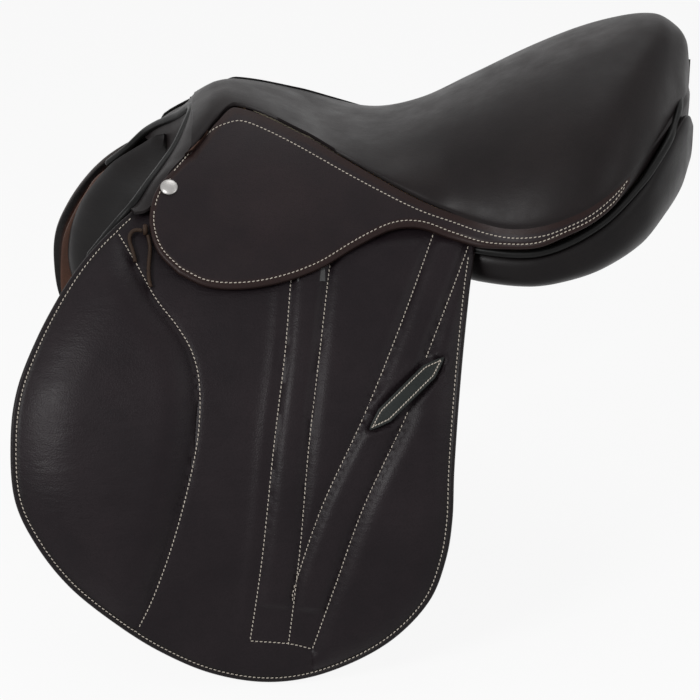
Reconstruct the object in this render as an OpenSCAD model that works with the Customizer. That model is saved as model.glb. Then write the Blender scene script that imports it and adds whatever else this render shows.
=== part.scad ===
// Close contact jumping saddle, built on a laminated spring tree.
// The horse's head is towards -X, up is +Z and the near (left) side is -Y.
// The origin lies on the centre line, at the height where the panels bear on the back.

/* [Seat] */
// Distance from the origin forward to the front of the pommel
pommel_x = 155; // [140:5:175]
// Distance from the origin rearward to the back of the cantle
cantle_x = 240; // [215:5:280]
// Height of the pommel top
pommel_z = 133; // [126:1:150]
// Height of the lowest place of the seat
seat_low_z = 101; // [94:1:110]
// Height of the cantle top
cantle_z = 185; // [160:1:222]
// Half of the greatest seat width
seat_half_w = 148; // [135:1:165]
// Thickness of the seat leather
seat_leather = 3; // [2:0.5:4]
// Radius of the piping sewn between seat and skirt
welt_r = 2; // [1.5:0.25:2.5]

/* [Tree] */
// Width of the laminated rails
rail_w = 36; // [28:1:42]
// Depth of the laminated rails
rail_h = 14; // [12:1:16]
// Thickness of the tree points
point_t = 12; // [9:1:14]
// Thickness of the head plate, the gullet plate and the springs
steel_t = 2; // [1.5:0.25:2.5]
// Thickness of the webs
web_t = 1.5; // [1:0.25:2]

/* [Sides] */
// Radius of the side curve, which follows the horse's barrel
barrel_r = 450; // [420:5:500]
// Half of the overall width across the two flaps
spread = 240; // [225:1:260]
// Height of the centre of the side curve
barrel_z = -259; // [-290:1:-240]
// Height of the line about which flap and skirt lift
hinge_z = 70; // [66:1:72]

/* [Flap] */
// Distance from the origin forward to the front of the flap
flap_front = 291; // [260:1:330]
// Depth of the flap below the origin
flap_drop = 270; // [240:1:310]
// Distance from the origin rearward to the back of the flap at the hinge line
flap_rear = 62; // [52:1:70]
// Thickness of the flap leather
flap_t = 5; // [4:0.5:5.5]
// Thickness of the padded block in front of the knee
knee_pad_t = 5; // [3:0.5:7]
// Thickness of the pad behind the thigh
thigh_pad_t = 2.5; // [2:0.5:4]
// Thickness of the padded channels over the billets
channel_t = 2; // [1:0.5:2.5]

/* [Skirt] */
// Depth of the skirt's lobe below the hinge line
skirt_drop = 51; // [40:1:58]
// Thickness of the skirt leather
skirt_t = 4; // [3:0.5:5]
// Gap between skirt and flap, for the stirrup bar
skirt_gap = 5; // [4.5:0.5:7]
// Diameter of the saddle nail's head
nail_d = 13.5; // [10:0.5:16]

/* [Girthing] */
// Width of a billet
billet_w = 26; // [22:1:28]
// Thickness of a billet
billet_t = 4; // [3:0.5:4.5]
// Diameter of the buckle holes
hole_d = 6; // [5:0.5:7]
// Pitch of the buckle holes
hole_pitch = 25; // [20:1:30]
// Number of holes in a billet
hole_count = 7; // [5:1:8]
// Clearance on each side of a billet
billet_gap = 2; // [1.5:0.25:2.5]

/* [Stirrup bar] */
// Length of the bar
bar_len = 62; // [50:1:66]
// Height of the bar
bar_h = 10; // [8:1:12]
// Thickness of the bar
bar_t = 4.5; // [3.5:0.5:5]
// Length of the safety catch
catch_len = 15; // [12:1:18]

/* [Keeper] */
// Length of the stirrup leather keeper
keeper_len = 78; // [65:1:90]
// Width of the keeper
keeper_w = 13; // [10:1:16]
// Thickness of the keeper strap
keeper_t = 2; // [1.5:0.5:2.5]

/* [Panels] */
// Half of the channel between the panels
channel_half = 34; // [28:1:38]
// Thickness of the sweat flap
sweat_t = 5; // [4:0.5:6]
// Thickness of the stuffed front of the panel
front_pad_t = 12; // [8:1:14]
// Radius of the panel's roll
roll_r = 3.2; // [2.5:0.1:4]

/* [Hidden] */
// clearance between pieces that touch on curved faces
gap = 0.3;
// clearance between layers that lie on each other
lay = 0.15;
// clearance round a pin or a rivet
pin_gap = 0.1;
// a length that reaches right through any side piece
reach = 700;
// facets of the long side curve
side_fn = 360;

// ---- layers on the side curve, from the outside in ----
axis_y = barrel_r - spread;
r_flap = barrel_r;
r_skirt = r_flap + skirt_gap + skirt_t;
r_billet = r_flap - flap_t - billet_gap;
r_sweat = r_billet - billet_t - billet_gap;
r_point = r_flap - flap_t - gap;
// the lifting axis lies just outside the skirt
hinge_r = r_skirt + 0.5;

// ---- curves ----
// slope of a row of points [x, y] at number i
function slope(p, i) = let (a = max(i - 1, 0), b = min(i + 1, len(p) - 1))
    (p[b][1] - p[a][1]) / (p[b][0] - p[a][0]);
function find(p, x, i = 0) = (i >= len(p) - 2 || x < p[i + 1][0]) ? i : find(p, x, i + 1);
// smooth value at x of a row of points [x, y], by cubic pieces
function along(p, x) = let (i = find(p, x), h = p[i + 1][0] - p[i][0], t = (x - p[i][0]) / h)
    p[i][1] * (1 - t) * (1 - t) * (1 + 2 * t) + h * slope(p, i) * t * (1 - t) * (1 - t)
    + p[i + 1][1] * t * t * (3 - 2 * t) - h * slope(p, i + 1) * t * t * (1 - t);
// one point of a smooth curve through four neighbours
function bend(a, b, c, d, t) = 0.5 * (2 * b + (c - a) * t + (2 * a - 5 * b + 4 * c - d) * t * t
    + (3 * b - a - 3 * c + d) * t * t * t);
// smooth open curve through points, n steps between each two
function smooth(p, n) = let (m = len(p) - 1)
    concat([for (i = [0 : m - 1], k = [0 : n - 1])
        bend(p[max(i - 1, 0)], p[i], p[i + 1], p[min(i + 2, m)], k / n)], [p[m]]);
function mirror_w(p) = [for (i = [len(p) - 1 : -1 : 0]) [p[i][0], -p[i][1], p[i][2]]];
function unit(v) = v / norm(v);

// closed skin over rings of points with equal counts
module loft(rings) {
    m = len(rings[0]);
    n = len(rings);
    polyhedron(points = [for (r = rings, q = r) q],
        faces = concat(
            [[for (j = [m - 1 : -1 : 0]) j]],
            [for (i = [0 : n - 2], j = [0 : m - 1])
                [i * m + j, i * m + (j + 1) % m, (i + 1) * m + (j + 1) % m]],
            [for (i = [0 : n - 2], j = [0 : m - 1])
                [i * m + j, (i + 1) * m + (j + 1) % m, (i + 1) * m + j]],
            [[for (j = [0 : m - 1]) (n - 1) * m + j]]));
}

// round tube of radius r along a path
module tube(path, r, sides = 8) {
    n = len(path);
    loft([for (i = [0 : n - 1]) let (
            d = unit(path[min(i + 1, n - 1)] - path[max(i - 1, 0)]),
            side = unit(cross(d, abs(d[2]) > 0.9 ? [0, 1, 0] : [0, 0, 1])),
            rise = cross(side, d))
        [for (j = [0 : sides - 1]) let (a = 360 * (j + 0.5) / sides)
            path[i] + r * (cos(a) * side + sin(a) * rise)]]);
}

// ---- shape of the seat ----
// height of the centre line from pommel to cantle
crown = [[-pommel_x, pommel_z - 14], [-0.94 * pommel_x, pommel_z - 7],
    [-0.885 * pommel_x, pommel_z - 2], [-0.81 * pommel_x, pommel_z],
    [-0.63 * pommel_x, 0.22 * seat_low_z + 0.78 * pommel_z],
    [-0.34 * pommel_x, 0.8 * seat_low_z + 0.2 * pommel_z], [-0.09 * pommel_x, seat_low_z],
    [0.1 * cantle_x, 0.905 * seat_low_z + 0.095 * cantle_z],
    [0.32 * cantle_x, 0.62 * seat_low_z + 0.38 * cantle_z],
    [0.54 * cantle_x, 0.33 * seat_low_z + 0.67 * cantle_z],
    [0.76 * cantle_x, 0.08 * seat_low_z + 0.92 * cantle_z], [0.888 * cantle_x, cantle_z],
    [0.95 * cantle_x, cantle_z - 7], [0.988 * cantle_x, cantle_z - 19], [cantle_x, cantle_z - 35]];
// height of the seat's border above the skirt
border = [[-pommel_x, pommel_z - 30], [-0.94 * pommel_x, pommel_z - 22],
    [-0.88 * pommel_x, pommel_z - 13], [-0.78 * pommel_x, pommel_z - 4],
    [-0.445 * pommel_x, seat_low_z + 12],
    [-0.26 * pommel_x, seat_low_z - 1], [-0.065 * pommel_x, seat_low_z - 15],
    [0.083 * cantle_x, seat_low_z - 28], [0.167 * cantle_x, seat_low_z - 35],
    [0.275 * cantle_x, seat_low_z - 34.5], [0.404 * cantle_x, seat_low_z - 33],
    [0.508 * cantle_x, seat_low_z - 25], [0.625 * cantle_x, seat_low_z - 15],
    [0.73 * cantle_x, seat_low_z - 5], [0.833 * cantle_x, seat_low_z + 10],
    [0.917 * cantle_x, seat_low_z + 22], [cantle_x, seat_low_z + 30]];
// distance of a side layer of radius r from the centre line at height z
function side_w(r, z) = sqrt(r * r - (z - barrel_z) * (z - barrel_z)) - axis_y;
// half width of the seat: the skirt's own curve in front, a round plan behind
plan = concat([for (f = [-1, -0.94, -0.88, -0.78, -0.445, -0.26, -0.065])
        [f * pommel_x, side_w(r_skirt, along(border, f * pommel_x))]],
    [for (f = [0.083, 0.167]) [f * cantle_x, side_w(r_skirt, along(border, f * cantle_x))]],
    [[0.275 * cantle_x, 0.88 * seat_half_w], [0.404 * cantle_x, 0.97 * seat_half_w],
    [0.508 * cantle_x, seat_half_w], [0.625 * cantle_x, 0.973 * seat_half_w],
    [0.73 * cantle_x, 0.855 * seat_half_w], [0.833 * cantle_x, 0.63 * seat_half_w],
    [0.917 * cantle_x, 0.385 * seat_half_w], [0.967 * cantle_x, 0.22 * seat_half_w],
    [cantle_x, 0.05 * seat_half_w]]);
// stations along the seat, closer together towards both ends
seat_n = 30;
function spaced(f) = 0.375 * (1 - cos(180 * f)) + 0.25 * f;
function station(i) = -pommel_x + (pommel_x + cantle_x) * spaced(i / seat_n);
// seat surface, sunk by d; t runs across from -1 to 1
function seat_point(x, t, d) = let (lo = along(border, x) - d, hi = along(crown, x) - d)
    [x, t * along(plan, x), lo + (hi - lo) * pow(max(1 - pow(abs(t), 2.6), 0), 0.75)];
// the foam starts at this station behind the head and stops short of the border
foam_first = 6;
foam_inset = 10;
// underside of the foam: a shallow dish that rises to the cantle
dish = 0.4;
function dish_z(x, t) = let (lo = along(border, x), hi = along(crown, x))
    lo - seat_leather - 2 + dish * (hi - lo) * (1 - t * t);

// rows across the seat, closer together towards the border
across = [for (j = [-6 : 6]) sin(90 * j / 6)];
module seat_cover_skin() {
    loft([for (i = [0 : seat_n]) let (x = station(i))
        concat([for (t = across) seat_point(x, t, 0)],
            [for (j = [len(across) - 1 : -1 : 0]) seat_point(x, across[j], seat_leather)])]);
}
module seat_foam() {
    color("khaki") loft([for (i = [foam_first : seat_n - 1]) let (x = station(i),
            k = max(1 - foam_inset / along(plan, x), 0.3))
        concat([for (t = across) seat_point(x, max(min(t, k), -k), seat_leather
                + (abs(t) < k ? 5 * gap : 5))],
            [for (j = [len(across) - 1 : -1 : 0]) let (t = max(min(across[j], k), -k))
                [x, t * along(plan, x), min(dish_z(x, t), seat_point(x, t, seat_leather + 3)[2])]])]);
}

// ---- side layers ----
// piece of a side layer: outer radius r, thickness t, outline [x, z] seen from the side
module layer(r, t, outline) {
    intersection() {
        rotate([90, 0, 0]) linear_extrude(height = reach / 2) polygon(outline);
        translate([-reach / 2, axis_y, barrel_z]) rotate([0, 90, 0]) difference() {
            cylinder(r = r, h = reach, $fn = side_fn);
            translate([0, 0, -1]) cylinder(r = r - t, h = reach + 2, $fn = side_fn);
        }
    }
}
// the right side mirrors the left
module right_side() { mirror([0, 1, 0]) children(); }
// angle of height z on the layer of radius r
function side_angle(r, z) = asin((z - barrel_z) / r);
// puts children on the side at x and height z of layer r: local +Z points outwards, +Y up the side
module at_side(x, r, z) {
    translate([x, axis_y, barrel_z]) rotate([-side_angle(r, z), 0, 0]) rotate([90, 0, 0])
        translate([0, 0, r]) children();
}

// ---- outlines seen from the side ----
flap_edge = concat([[-0.66 * flap_front, hinge_z]], [for (p = [
    [-0.738, 54], [-0.81, 36], [-0.873, 14], [-0.935, -15], [-0.983, -47], [-1, -80]])
        [p[0] * flap_front, p[1]]],
    [for (p = [[-0.993, -0.45], [-0.943, -0.575], [-0.86, -0.696], [-0.746, -0.808],
        [-0.632, -0.897], [-0.505, -0.967], [-0.37, -1]])
        [p[0] * flap_front, p[1] * flap_drop]],
    [for (p = [[-1.14, -0.988], [-0.53, -0.933], [-0.05, -0.858], [0.33, -0.755], [0.52, -0.64],
        [0.6, -0.53], [0.63, -0.396], [0.69, -0.24], [0.77, -0.096]])
        [p[0] * flap_rear, p[1] * flap_drop]],
    [[0.87 * flap_rear, 12], [0.95 * flap_rear, 35], [flap_rear, 53]]);
rail_top = 92;
flap_outline = concat(smooth(flap_edge, 3), [[0.65 * flap_rear, 55], [20, 63], [6, hinge_z], [-10, 77],
    [-26, 86], [-40, rail_top], [-150, rail_top], [-180, 86]]);
// front edge of the arch, where the roll lies
arch_edge = [[-158, pommel_z - 13], [-163, 113], [-172, 99], [-183, 85], [-192, hinge_z + gap]];
// the knee pad's rear edge, from the top down
knee_edge = [[-212, 50], [-198, 31], [-184, 10], [-168, -8], [-157, -25], [-152, -46], [-153, -76],
    [-160, -110], [-174, -157], [-190, -199], [-203, -224]];
keeper_mid = [4, -54];
keeper_turn = 43;

// ---- tree ----
// stations of the cantle frame, from the ends of the rails to the back
rail_n = 18;
rail_end = 30;
function rail_x(i) = rail_end + (cantle_x - 24 - rail_end) * sin(90 * pow(i / rail_n, 0.85));
// section of the frame at x, on the side given by s: outer edge, then inner edge
function rail_ring(x, s) = let (k = pow(max(x / cantle_x - 0.5, 0) * 2, 2),
        zo = dish_z(x, 0.9) - 3.1,
        room = side_w(r_billet - billet_t - gap, zo - 3) + max(x - flap_rear, 0) * 1.6,
        w = max(min(along(plan, x) - 7 - 13 * k, room), 6),
        xi = x - rail_w * k, wi = max(w - rail_w * (1 - k), min(w, 9)),
        zi = dish_z(xi, wi / along(plan, xi)) - 2.7)
    [[x, s * w, zo - rail_h], [x, s * w, zo], [xi, s * wi, zi], [xi, s * wi, zi - rail_h]];
module tree_cantle() {
    color("burlywood") loft(concat([for (i = [0 : rail_n]) rail_ring(rail_x(i), -1)],
        [for (i = [rail_n - 1 : -1 : 0]) rail_ring(rail_x(i), 1)]));
}

// arch of the head, seen from the front: its outer face lies against the rails
r_arch = r_point - point_t - gap;
arch_top = pommel_z - 13;
arch_foot = 64;
arch_path = smooth([[side_w(r_arch, arch_foot), arch_foot], [side_w(r_arch, 76), 76],
    [side_w(r_arch, 94), 94], [side_w(r_arch, 107), 108], [0, arch_top], [-side_w(r_arch, 107), 108],
    [-side_w(r_arch, 94), 94], [-side_w(r_arch, 76), 76], [-side_w(r_arch, arch_foot), arch_foot]], 4);
// band that follows the arch, from depth a to depth b under its outer face, x0 to x1 at the top
arch_rake = 0.42;
module arch_band(a, b, x0, x1, skip = 0) {
    n = len(arch_path) - 1;
    loft([for (i = [skip : n - skip]) let (
            d = unit(arch_path[min(i + 1, n)] - arch_path[max(i - 1, 0)]), m = [d[1], -d[0]],
            p = arch_path[i] + a * (m[1] < 0 ? m : -m), q = arch_path[i] + b * (m[1] < 0 ? m : -m),
            x = arch_rake * (arch_path[i][1] - arch_top))
        [[x0 + x, p[0], p[1]], [x1 + x, p[0], p[1]], [x1 + x, q[0], q[1]], [x0 + x, q[0], q[1]]]]);
}
head_x = -pommel_x + 8;
head_len = 34;
head_t = 10;
module tree_head() { color("burlywood") arch_band(steel_t, steel_t + head_t, head_x, head_x + head_len); }
module head_plate() { color("slategray") arch_band(0, steel_t, head_x + 6, head_x + head_len - 6, 5); }
module gullet_plate() {
    color("slategray") arch_band(steel_t + head_t, 2 * steel_t + head_t, head_x + 4, head_x + head_len - 4, 3);
}

// laminated rails that end in front in the tree points, drilled for the bar's rivets
bar_x = -132;
bar_z = 51;
plate_z = 80;
bar_r = r_skirt - skirt_t - 0.7;
rivet_x = [bar_x + 7, bar_x + 26, bar_x + 45];
rivet_r = 2.5;
plate_t = 2.5;
rail_outline = [[-168, 90], [-185, arch_foot], [-20, arch_foot], [rail_end - gap, 46],
    [rail_end - gap, 58], [12, 67], [-10, 77], [-26, 86], [-40, rail_top], [-150, rail_top]];
module tree_rail_left() {
    color("burlywood") difference() {
        layer(r_point, point_t, rail_outline);
        for (x = rivet_x) at_side(x, r_point, plate_z)
            translate([0, 0, -9]) cylinder(r = rivet_r, h = 20, $fn = 32);
    }
}
module tree_rail_right() { right_side() tree_rail_left(); }

// spring steel along the inner face of each rail
module tree_spring_left() {
    color("slategray") layer(r_point - point_t - lay, steel_t,
        [[-106, 67], [4, 67], [-4, 73], [-106, 73]]);
}
module tree_spring_right() { right_side() tree_spring_left(); }

// webs that carry the seat foam, from the head to the cantle and from rail to rail
module seat_web() {
    color("tan") loft([for (i = [0 : 12]) let (x = head_x + head_len + 1
                + (cantle_x - 26 - rail_w - head_x - head_len) * i / 12,
            h = min(28, 9 + i * 5), z = dish_z(x, h / along(plan, x)) - 4 * gap)
        [[x, -h, z - web_t], [x, h, z - web_t], [x, h, z], [x, -h, z]]]);
}
web_x = -6;
web_w = 48;
module cross_web() {
    color("tan") loft([for (i = [0 : 6]) let (x = web_x + web_w * (i / 6 - 0.5),
            z = dish_z(x, 0.65) - 6 * gap, h = side_w(r_point - point_t, z) - gap)
        [[x, -h, z - web_t], [x, h, z - web_t], [x, h, z], [x, -h, z]]]);
}

// ---- seat ----
// the wings are the strips of seat leather that run down both sides of the arch
wing_outline = concat(arch_edge,
    [[-185.5, hinge_z + gap], [-181.5, 81], [-159.5, 101], [-pommel_x - 0.3, 103.5],
    [-pommel_x - 0.3, pommel_z - 12]]);
module seat_cover() {
    color("#2b2624") {
        seat_cover_skin();
        layer(r_skirt, skirt_t, wing_outline);
        right_side() layer(r_skirt, skirt_t, wing_outline);
    }
}
// row of points set off outwards by d from a row of plan points [x, w, z]
function set_off(p, d) = [for (i = [0 : len(p) - 1]) let (
        v = p[min(i + 1, len(p) - 1)] - p[max(i - 1, 0)], n = unit([-v[1], v[0]]))
    [p[i][0] + d * n[0], -p[i][1] - d * n[1], p[i][2]]];
// piping along the border of the seat
welt_path = set_off([for (i = [2 : seat_n]) let (x = station(i))
    [x, along(plan, x), along(border, x) - 0.9]], welt_r + 0.6);
module seat_welt_left() { color("#1d2220") tube(welt_path, welt_r, 6); }
module seat_welt_right() { right_side() seat_welt_left(); }

// roll along the front of the arch and down the front of the panels
roll_half = concat([[-214, -side_w(r_sweat + roll_r + 1, 50), 50],
    [-204, -side_w(r_sweat + roll_r + 1, 62), 62]],
    [for (p = arch_edge) if (p[1] < pommel_z - 15)
        [p[0] - 5, -side_w(r_sweat + roll_r + 2, p[1]), p[1]]]);
roll_path = smooth(concat([for (i = [0, 1, 5, 4, 3]) roll_half[i]],
    [[-pommel_x - 6, -24, pommel_z - 14], [-pommel_x - 5, 0, pommel_z - 12]]), 3);
module arch_roll() {
    color("#231f1e") tube(concat([for (p = roll_path) if (p[1] < 0) p],
        [[-pommel_x - 5, 0, pommel_z - 12]], [for (p = mirror_w(roll_path)) if (p[1] > 0) p]), roll_r);
}

// ---- skirt ----
lobe_rear = -15;
skirt_front = [[-pommel_x + 1, 100], [-159, 99], [-181, 81], [-185, hinge_z], [-186, hinge_z - 8]];
// upper skirt, fixed along the seat, with the tail that runs to the cantle
skirt_end = 0.167 * cantle_x;
// height of the skirt's upper edge, just under the piping
function skirt_z(x) = along(border, x) - seat_leather - 2.7;
skirt_top = concat([for (i = [2 : seat_n]) let (x = station(i)) if (x < skirt_end - 1)
    [x, skirt_z(x)]], [[skirt_end, skirt_z(skirt_end)]]);
skirt_low = [[-8, 54], [3, 56], [22, 54], [skirt_end, 48]];
skirt_outline = concat(skirt_front, [[lobe_rear - 15, hinge_z - 8], [lobe_rear - 15, 45]], skirt_low,
    [for (i = [len(skirt_top) - 1 : -1 : 0]) skirt_top[i]]);
// lower edge of the tail
tail_low = [[skirt_end, 48], [0.27 * cantle_x, 43], [0.354 * cantle_x, 43], [0.437 * cantle_x, 46],
    [0.517 * cantle_x, 54], [0.604 * cantle_x, 63], [0.6875 * cantle_x, 75], [0.735 * cantle_x, 87]];
tail_n = 14;
function tail_x(i) = (0.167 + 0.565 * i / tail_n) * cantle_x;
// how far the tail's lower edge stands out beyond its upper edge
function tail_out(i) = let (hi = skirt_z(tail_x(i)), lo = along(tail_low, tail_x(i)))
    i == 0 ? side_w(r_skirt, lo) - side_w(r_skirt, hi) : 0.45 * (hi - lo) * (1 - i / tail_n) + 1;
module skirt_left() {
    color("#33292a") {
        difference() {
            layer(r_skirt, skirt_t, skirt_outline);
            at_side(0, hinge_r, hinge_z) translate([lobe_rear + gap - reach, gap - 60, -20])
                cube([reach, 60, 40]);
            at_side(-172, r_skirt, 80.5) translate([0, 0, -skirt_t - 1])
                cylinder(r = 1.6, h = skirt_t + 2, $fn = 32);
        }
        loft([for (i = [0 : tail_n]) let (x = tail_x(i) + (i == 0 ? 0.05 : 0), hi = skirt_z(x),
                lo = along(tail_low, x), w = along(plan, x), out = tail_out(i))
            [[x, -w + skirt_t + 1, hi - 1], [x, -w - out + skirt_t + 1, lo], [x, -w - out, lo],
            [x, -w, hi]]]);
    }
}
module skirt_right() { right_side() skirt_left(); }
// the lobe that lifts to uncover the stirrup bar
lobe_outline = smooth(concat([[-185.5, hinge_z], [-186.5, 57], [-180, 42],
    [-165, hinge_z - 0.82 * skirt_drop], [-145, hinge_z - 0.96 * skirt_drop], [-119, hinge_z - skirt_drop],
    [-89, hinge_z - 0.93 * skirt_drop], [-59, hinge_z - 0.765 * skirt_drop], [-32, 43.5],
    [lobe_rear, 50.5]]), 3);
module skirt_lobe_left() {
    color("#33292a") difference() {
        layer(r_skirt, skirt_t, concat([[-184, hinge_z + 6]], lobe_outline, [[lobe_rear, hinge_z + 6]]));
        at_side(0, hinge_r, hinge_z) translate([-reach, 0, -20]) cube([reach, 60, 40]);
    }
}
module skirt_lobe_right() { right_side() skirt_lobe_left(); }

// domed nail that pins the corner of the skirt
module saddle_nail_left() {
    color("silver") at_side(-172, r_skirt, 80.5) {
        rotate_extrude($fn = 48) polygon(concat([[0, 0.05], [nail_d / 2, 0.05]],
            [for (a = [15 : 15 : 90]) [nail_d / 2 * cos(a), 0.6 + 2.2 * sin(a)]]));
        translate([0, 0, -skirt_t - 0.5]) cylinder(r = 1.5, h = skirt_t + 0.56, $fn = 32);
    }
}
module saddle_nail_right() { right_side() saddle_nail_left(); }

// ---- stirrup bar ----
window_front = bar_x - 8;
window_rear = bar_x + bar_len + 16;
// seam between the flap and its head, as points [x, distance below the lifting axis]: square to the flap
// under the axis, then low enough behind the lobe for the flap to swing clear of the skirt's fixed edge
hinge_angle = side_angle(hinge_r, hinge_z);
function below_axis(w, z) = let (d = norm([w - side_w(hinge_r, hinge_z), z - hinge_z]) + 1)
    sqrt(d * d - (hinge_r - r_flap) * (hinge_r - r_flap));
seam = concat([for (p = concat([[lobe_rear + gap, 51]], skirt_low)) [p[0], below_axis(side_w(r_skirt, p[1]), p[1])]],
    [for (i = [1 : 4]) let (x = tail_x(i)) [x, below_axis(along(plan, x) + tail_out(i), along(tail_low, x))]]);
function on_arc(x, r, a) = [x, axis_y - r * cos(a), barrel_z + r * sin(a)];
// everything of the flap's layer above the seam, which is raised by d
module above_seam(d) {
    loft([for (p = concat([[-250, 0], [lobe_rear + d, 0], [lobe_rear + d + 0.05, seam[0][1]]],
                [for (i = [1 : len(seam) - 1]) seam[i]])) let (
            a = hinge_angle - (p[1] - d) * 180 / PI / r_flap, top = hinge_angle + 12)
        [on_arc(p[0], r_flap - flap_t - 1, top), on_arc(p[0], r_flap - flap_t - 1, a),
        on_arc(p[0], r_flap + 6, a), on_arc(p[0], r_flap + 6, top)]]);
}
// upper edge of the flap, nailed to the tree point and open round the bar's plate
module flap_head_left() {
    color("#2a2322") difference() {
        intersection() {
            layer(r_flap, flap_t, flap_outline);
            above_seam(gap);
        }
        layer(r_flap + 1, flap_t + 2, [[window_front, 40], [window_rear, 40], [window_rear, hinge_z],
            [window_rear - 20, hinge_z], [window_rear - 20, 100], [window_front, 100]]);
    }
}
module flap_head_right() { right_side() flap_head_left(); }
// forged bar: plate on the tree point, one arm in front, open behind for the stirrup leather
module stirrup_bar_left() {
    plate_r = r_point + 0.05;
    color("silver") difference() {
        union() {
            at_side(bar_x, bar_r, bar_z) translate([0, -bar_h / 2, -bar_t]) cube([bar_len, bar_h, bar_t]);
            intersection() {
                layer(bar_r, bar_r - plate_r, [[bar_x, bar_z - 3], [bar_x, plate_z - 5],
                    [bar_x + 11, plate_z - 5], [bar_x + 11, bar_z - 3]]);
                at_side(bar_x, bar_r, bar_z) translate([0, -bar_h / 2, -30]) cube([11, 60, 30]);
            }
            layer(plate_r + plate_t, plate_t, [[bar_x, plate_z - 8], [bar_x, plate_z + 8],
                [bar_x + 52, plate_z + 8], [bar_x + 52, plate_z - 8]]);
        }
        for (x = rivet_x) at_side(x, r_point, plate_z) translate([0, 0, -5])
            cylinder(r = rivet_r, h = 30, $fn = 32);
        at_side(bar_x + bar_len, bar_r, bar_z) translate([-7, -bar_h, -bar_t + 1.5 - pin_gap])
            cube([20, 2 * bar_h, bar_t - 3 + 2 * pin_gap]);
        at_side(bar_x + bar_len - 3.5, bar_r, bar_z) translate([0, 0, -bar_t - 1])
            cylinder(r = 1, h = bar_t + 2, $fn = 32);
    }
}
module stirrup_bar_right() { right_side() stirrup_bar_left(); }
module bar_rivets_left() {
    color("silver") for (x = rivet_x) at_side(x, r_point, plate_z) {
        translate([0, 0, plate_t + 0.1]) cylinder(r = 3.8, h = 1.2, $fn = 48);
        translate([0, 0, -9]) cylinder(r = rivet_r - pin_gap, h = plate_t + 9.2, $fn = 32);
    }
}
module bar_rivets_right() { right_side() bar_rivets_left(); }
// safety catch, a thumb piece hinged in the slot at the bar's open end
module bar_catch_left() {
    color("silver") at_side(bar_x + bar_len - 3.5, bar_r, bar_z) difference() {
        translate([0, 0, -bar_t + 1.5]) linear_extrude(height = bar_t - 3) union() {
            circle(r = 3.2, $fn = 48);
            translate([0, -3.2]) square([catch_len - 5, 6.4]);
            translate([catch_len - 5, 0]) circle(r = 4.4, $fn = 48);
        }
        translate([0, 0, -bar_t]) cylinder(r = 1 + pin_gap / 2, h = 2 * bar_t, $fn = 32);
    }
}
module bar_catch_right() { right_side() bar_catch_left(); }
module catch_pin_left() {
    color("silver") at_side(bar_x + bar_len - 3.5, bar_r, bar_z) translate([0, 0, -bar_t])
        cylinder(r = 1, h = bar_t, $fn = 32);
}
module catch_pin_right() { right_side() catch_pin_left(); }

// ---- flap ----
// notch in the flap's upper edge for the stirrup bar
notch = [[window_front, hinge_z + 5], [window_front, 34], [window_rear, 34], [window_rear, hinge_z + 5]];
module flap_left() {
    color("#2a2322") difference() {
        layer(r_flap, flap_t, flap_outline);
        above_seam(0);
        layer(r_flap + 1, flap_t + 2, notch);
    }
}
module flap_right() { right_side() flap_left(); }

// padded block in front of the knee, with its edge just inside the flap's edge
knee_outline = concat([for (i = [4 : 31]) flap_outline[i] + unit([-130, -70] - flap_outline[i]) * 7],
    [for (i = [len(knee_edge) - 1 : -1 : 0]) knee_edge[i]]);
module knee_pad_left() { color("#2a2322") layer(r_flap + knee_pad_t, knee_pad_t - lay, knee_outline); }
module knee_pad_right() { right_side() knee_pad_left(); }
// pad behind the thigh, between the rear billet channel and the flap's back edge
module thigh_pad_left() {
    color("#2a2322") layer(r_flap + thigh_pad_t, thigh_pad_t - lay, smooth([[50, 22], [38, -6], [18, -48],
        [-7, -94], [-35, -147], [-53, -196], [-66, -244], [-36, -243], [-6, -226], [14, -200], [25, -172],
        [30, -143], [33, -107], [36, -65], [41, -26], [48, 10]], 2));
}
module thigh_pad_right() { right_side() thigh_pad_left(); }
// padded channels over the two billets
front_channel = [[-74, 26], [-82, 4], [-89, -50], [-98, -110], [-108, -170], [-115, -226], [-87, -229],
    [-78, -163], [-71, -95], [-62, -30], [-54, 12], [-50, 26]];
rear_channel = [[30, 36], [12, 6], [-6, -24], [-29, -70], [-58, -128], [-79, -186], [-81, -228],
    [-71, -230], [-56, -190], [-33, -130], [-4, -80]];
module channel_pads_left() {
    color("#2a2322") {
        layer(r_flap + channel_t, channel_t - lay, front_channel);
        layer(r_flap + channel_t, channel_t - lay, rear_channel);
    }
}
module channel_pads_right() { right_side() channel_pads_left(); }

// keeper: a strap sewn down at both ends, raised in the middle for the stirrup leather
module keeper_left() {
    lift = 6.5;
    base = thigh_pad_t + 0.4;
    half = keeper_len / 2;
    color("#3a3c3c") at_side(keeper_mid[0], r_flap, keeper_mid[1]) rotate([0, 0, keeper_turn])
        translate([0, keeper_w / 2, 0]) rotate([90, 0, 0]) linear_extrude(height = keeper_w)
        polygon(concat([for (i = [-8 : 8]) let (s = i / 8, d = 1 - s * s)
            [half * s, base + keeper_t + lift * d * d - 0.9 * s * s]],
            [for (i = [8 : -1 : -8]) let (s = i / 8, d = 1 - s * s)
            [half * s, base + lift * d * d - 0.9 * s * s]]));
}
module keeper_right() { right_side() keeper_left(); }

// bare tab for the size, sewn to the flap below the skirt's edge
module size_tab_left() {
    color("#555555") layer(r_flap + channel_t + 1, 0.95, [[-76, 20.5], [-76, 44], [-55, 44], [-55, 20.5]]);
}

// lace tied through the front corner of the flap
lace_r = 1.5;
lace_x = -190;
lace_z = 54;
module lace_knot_left() {
    color("#241d1b") at_side(lace_x, r_flap + 4.5, lace_z) rotate([0, 90, 0])
        rotate_extrude($fn = 32) translate([2.6, 0]) circle(r = 1.8, $fn = 24);
}
module lace_knot_right() { right_side() lace_knot_left(); }
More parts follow.
